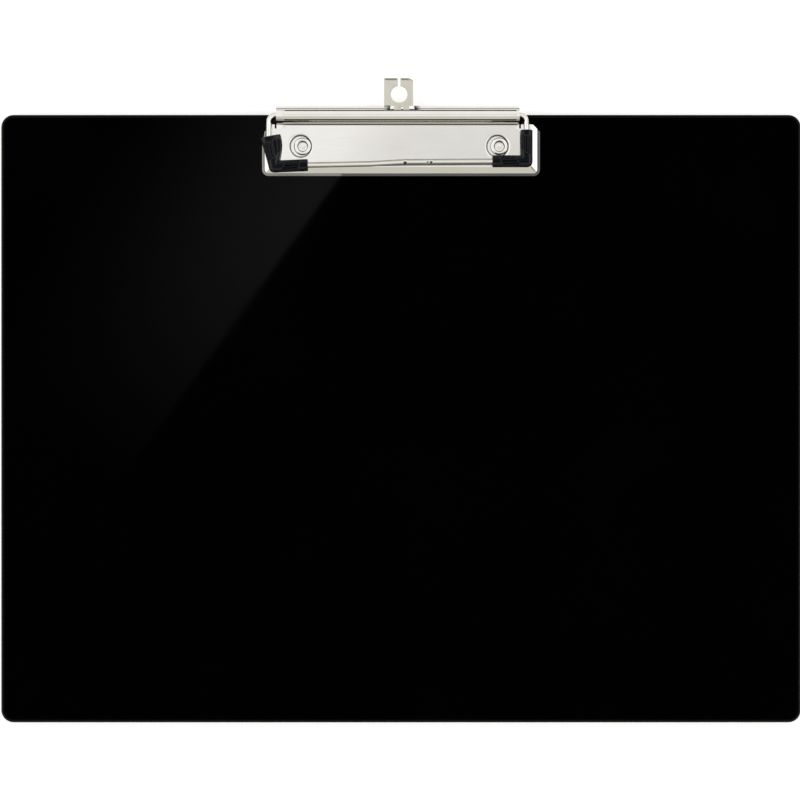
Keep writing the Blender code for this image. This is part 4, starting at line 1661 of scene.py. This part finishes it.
    def overhead_card(self, tree: bpy.types.NodeTree, plane: Socket) -> Socket:
        """The dark card's colour: nearly black, with a faint panel that ends on a slanted line.

        On a plane one unit up, the line runs through (-0.020, 0.074) and (-0.100, -0.037). The
        panel lies to its left, and fades with distance from it and towards its lower end.

        Args:
            tree: the room's node tree.
            plane: the direction carried on to the plane one unit up.

        Returns:
            The card's colour.
        """
        across, along = (
            add_node(
                tree, "ShaderNodeVectorMath", {0: plane, 1: weights}, operation="DOT_PRODUCT"
            ).outputs["Value"]
            for weights in (self.panel_across, self.panel_along)
        )
        edges = [
            (across, *self.panel_edge),
            (across, *self.panel_fade),
            (along, *self.panel_end),
        ]
        glow = soft_mask(tree, edges)
        return layer(tree, linear("#040404"), [(glow, linear("#7E7E80"))])

    def hang_softbox(self, pieces: list[bpy.types.Object]) -> None:
        """Hang a large soft box over the board that lights only the bright metal.

        The acrylic then mirrors the dark card, and the metal the soft box.

        Args:
            pieces: the pieces that it lights.
        """
        depth, width = self.softbox_far - self.softbox_near, 2.0 * self.softbox_side
        data = bpy.data.lights.new("overhead_softbox", "AREA")
        data.shape = "RECTANGLE"
        data.size, data.size_y = width, depth
        # An even panel of radiance L gives off L * pi * area.
        data.energy = self.softbox_radiance * math.pi * depth * width
        softbox = bpy.data.objects.new("overhead_softbox", data)
        middle = (self.softbox_far + self.softbox_near) / 2.0
        softbox.location = (0.0, self.seat.origin[1] + middle, self.softbox_height)
        softbox.visible_camera = False
        bpy.context.scene.collection.objects.link(softbox)
        lit = bpy.data.collections.new("bright_metal")
        for piece in pieces:
            lit.objects.link(piece)
        softbox.light_linking.receiver_collection = lit


# ------------------------------------------------------------------ assembly


def dress(piece: bpy.types.Object, material: bpy.types.Material) -> None:
    """Give a piece one material in place of any it has.

    Args:
        piece: the piece.
        material: its new material.
    """
    piece.data.materials.clear()
    piece.data.materials.append(material)


def place(
    piece: bpy.types.Object, body: str, node: str, slot: str, material: bpy.types.Material
) -> None:
    """Tie a new piece to its body, the node that it stands for, and its finish.

    Args:
        piece: the new piece.
        body: the body that it moves with.
        node: the node that it replaces.
        slot: the record's material slot. Not used.
        material: its material.
    """
    dress(piece, material)
    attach(piece, body)
    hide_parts(node)
    LOG.info("%s: %d faces, rides on %s", piece.name, len(piece.data.polygons), body)


def main() -> None:
    """Build every piece in order, then the studio."""
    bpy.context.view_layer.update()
    seat = Seat.from_frame()
    acrylic = PolishedAcrylic().make()
    plate_nickel = NickelPlate("bright_nickel_on_pressed_steel").make()
    wire_nickel = NickelPlate("bright_nickel_on_drawn_wire", roughness=(0.05, 0.08)).make()
    # The tab's nickel is given darker colours than the plate's: painted shade.
    tab_nickel = NickelPlate(
        "nickel_on_blanked_strip_painted_darker",
        "#CFCCC2",
        "#C0BBAE",
        grain_mm=(0.35, 9.0, 0.35),
        has_painted_shade=False,
    ).make()
    rubber = MouldedRubber().make()
    spring_steel = NickelPlate(
        "blued_spring_strip",
        "#5A5E66",
        "#43464D",
        roughness=(0.28, 0.38),
        grain_mm=(6.0, 0.3, 0.3),
        has_painted_shade=False,
    ).make()

    root = "board_and_clip"
    place(Board(seat).build(), root, "board", "board_plastic", acrylic)
    metal = [ClipPlate(seat).build()]
    place(metal[0], root, "base_plate", "nickel_plate", plate_nickel)
    for side, x in (("left", -RIVET_X), ("right", RIVET_X)):
        rivet = Rivet(seat, x).build(f"rivet_body_{side}")
        place(rivet, root, f"rivet_{side}", "nickel_plate", plate_nickel)
        metal.append(rivet)
    dress(frame["nodes"]["leaf_spring"], spring_steel)

    bail = Bail(seat)
    metal.append(bail.build_wire())
    place(metal[-1], "bail", "wire_bail", "nickel_wire", wire_nickel)
    left = CornerSleeve(seat, *(corner[:2] for corner in bail.corners[1:4]), twist=2.4)
    right_corners = [corner[:2] for corner in bail.corners[6:9]][::-1]
    right = CornerSleeve(seat, *right_corners)
    for side, sleeve in (("left", left), ("right", right)):
        piece = sleeve.build(f"ribbed_sleeve_{side}")
        place(piece, "bail", f"corner_sleeve_{side}", "sleeve_rubber", rubber)

    metal.append(HangingTab(seat).build())
    place(metal[-1], "hanger", "hanging_tab", "nickel_plate", tab_nickel)

    studio = Studio(seat)
    studio.build_floor()
    studio.build_camera()
    studio.build_room()
    studio.hang_softbox(metal)
    bpy.context.scene.view_settings.view_transform = "Standard"


if __name__ == "__main__":
    logging.basicConfig(level=logging.INFO, format="%(name)s: %(message)s")
    main()
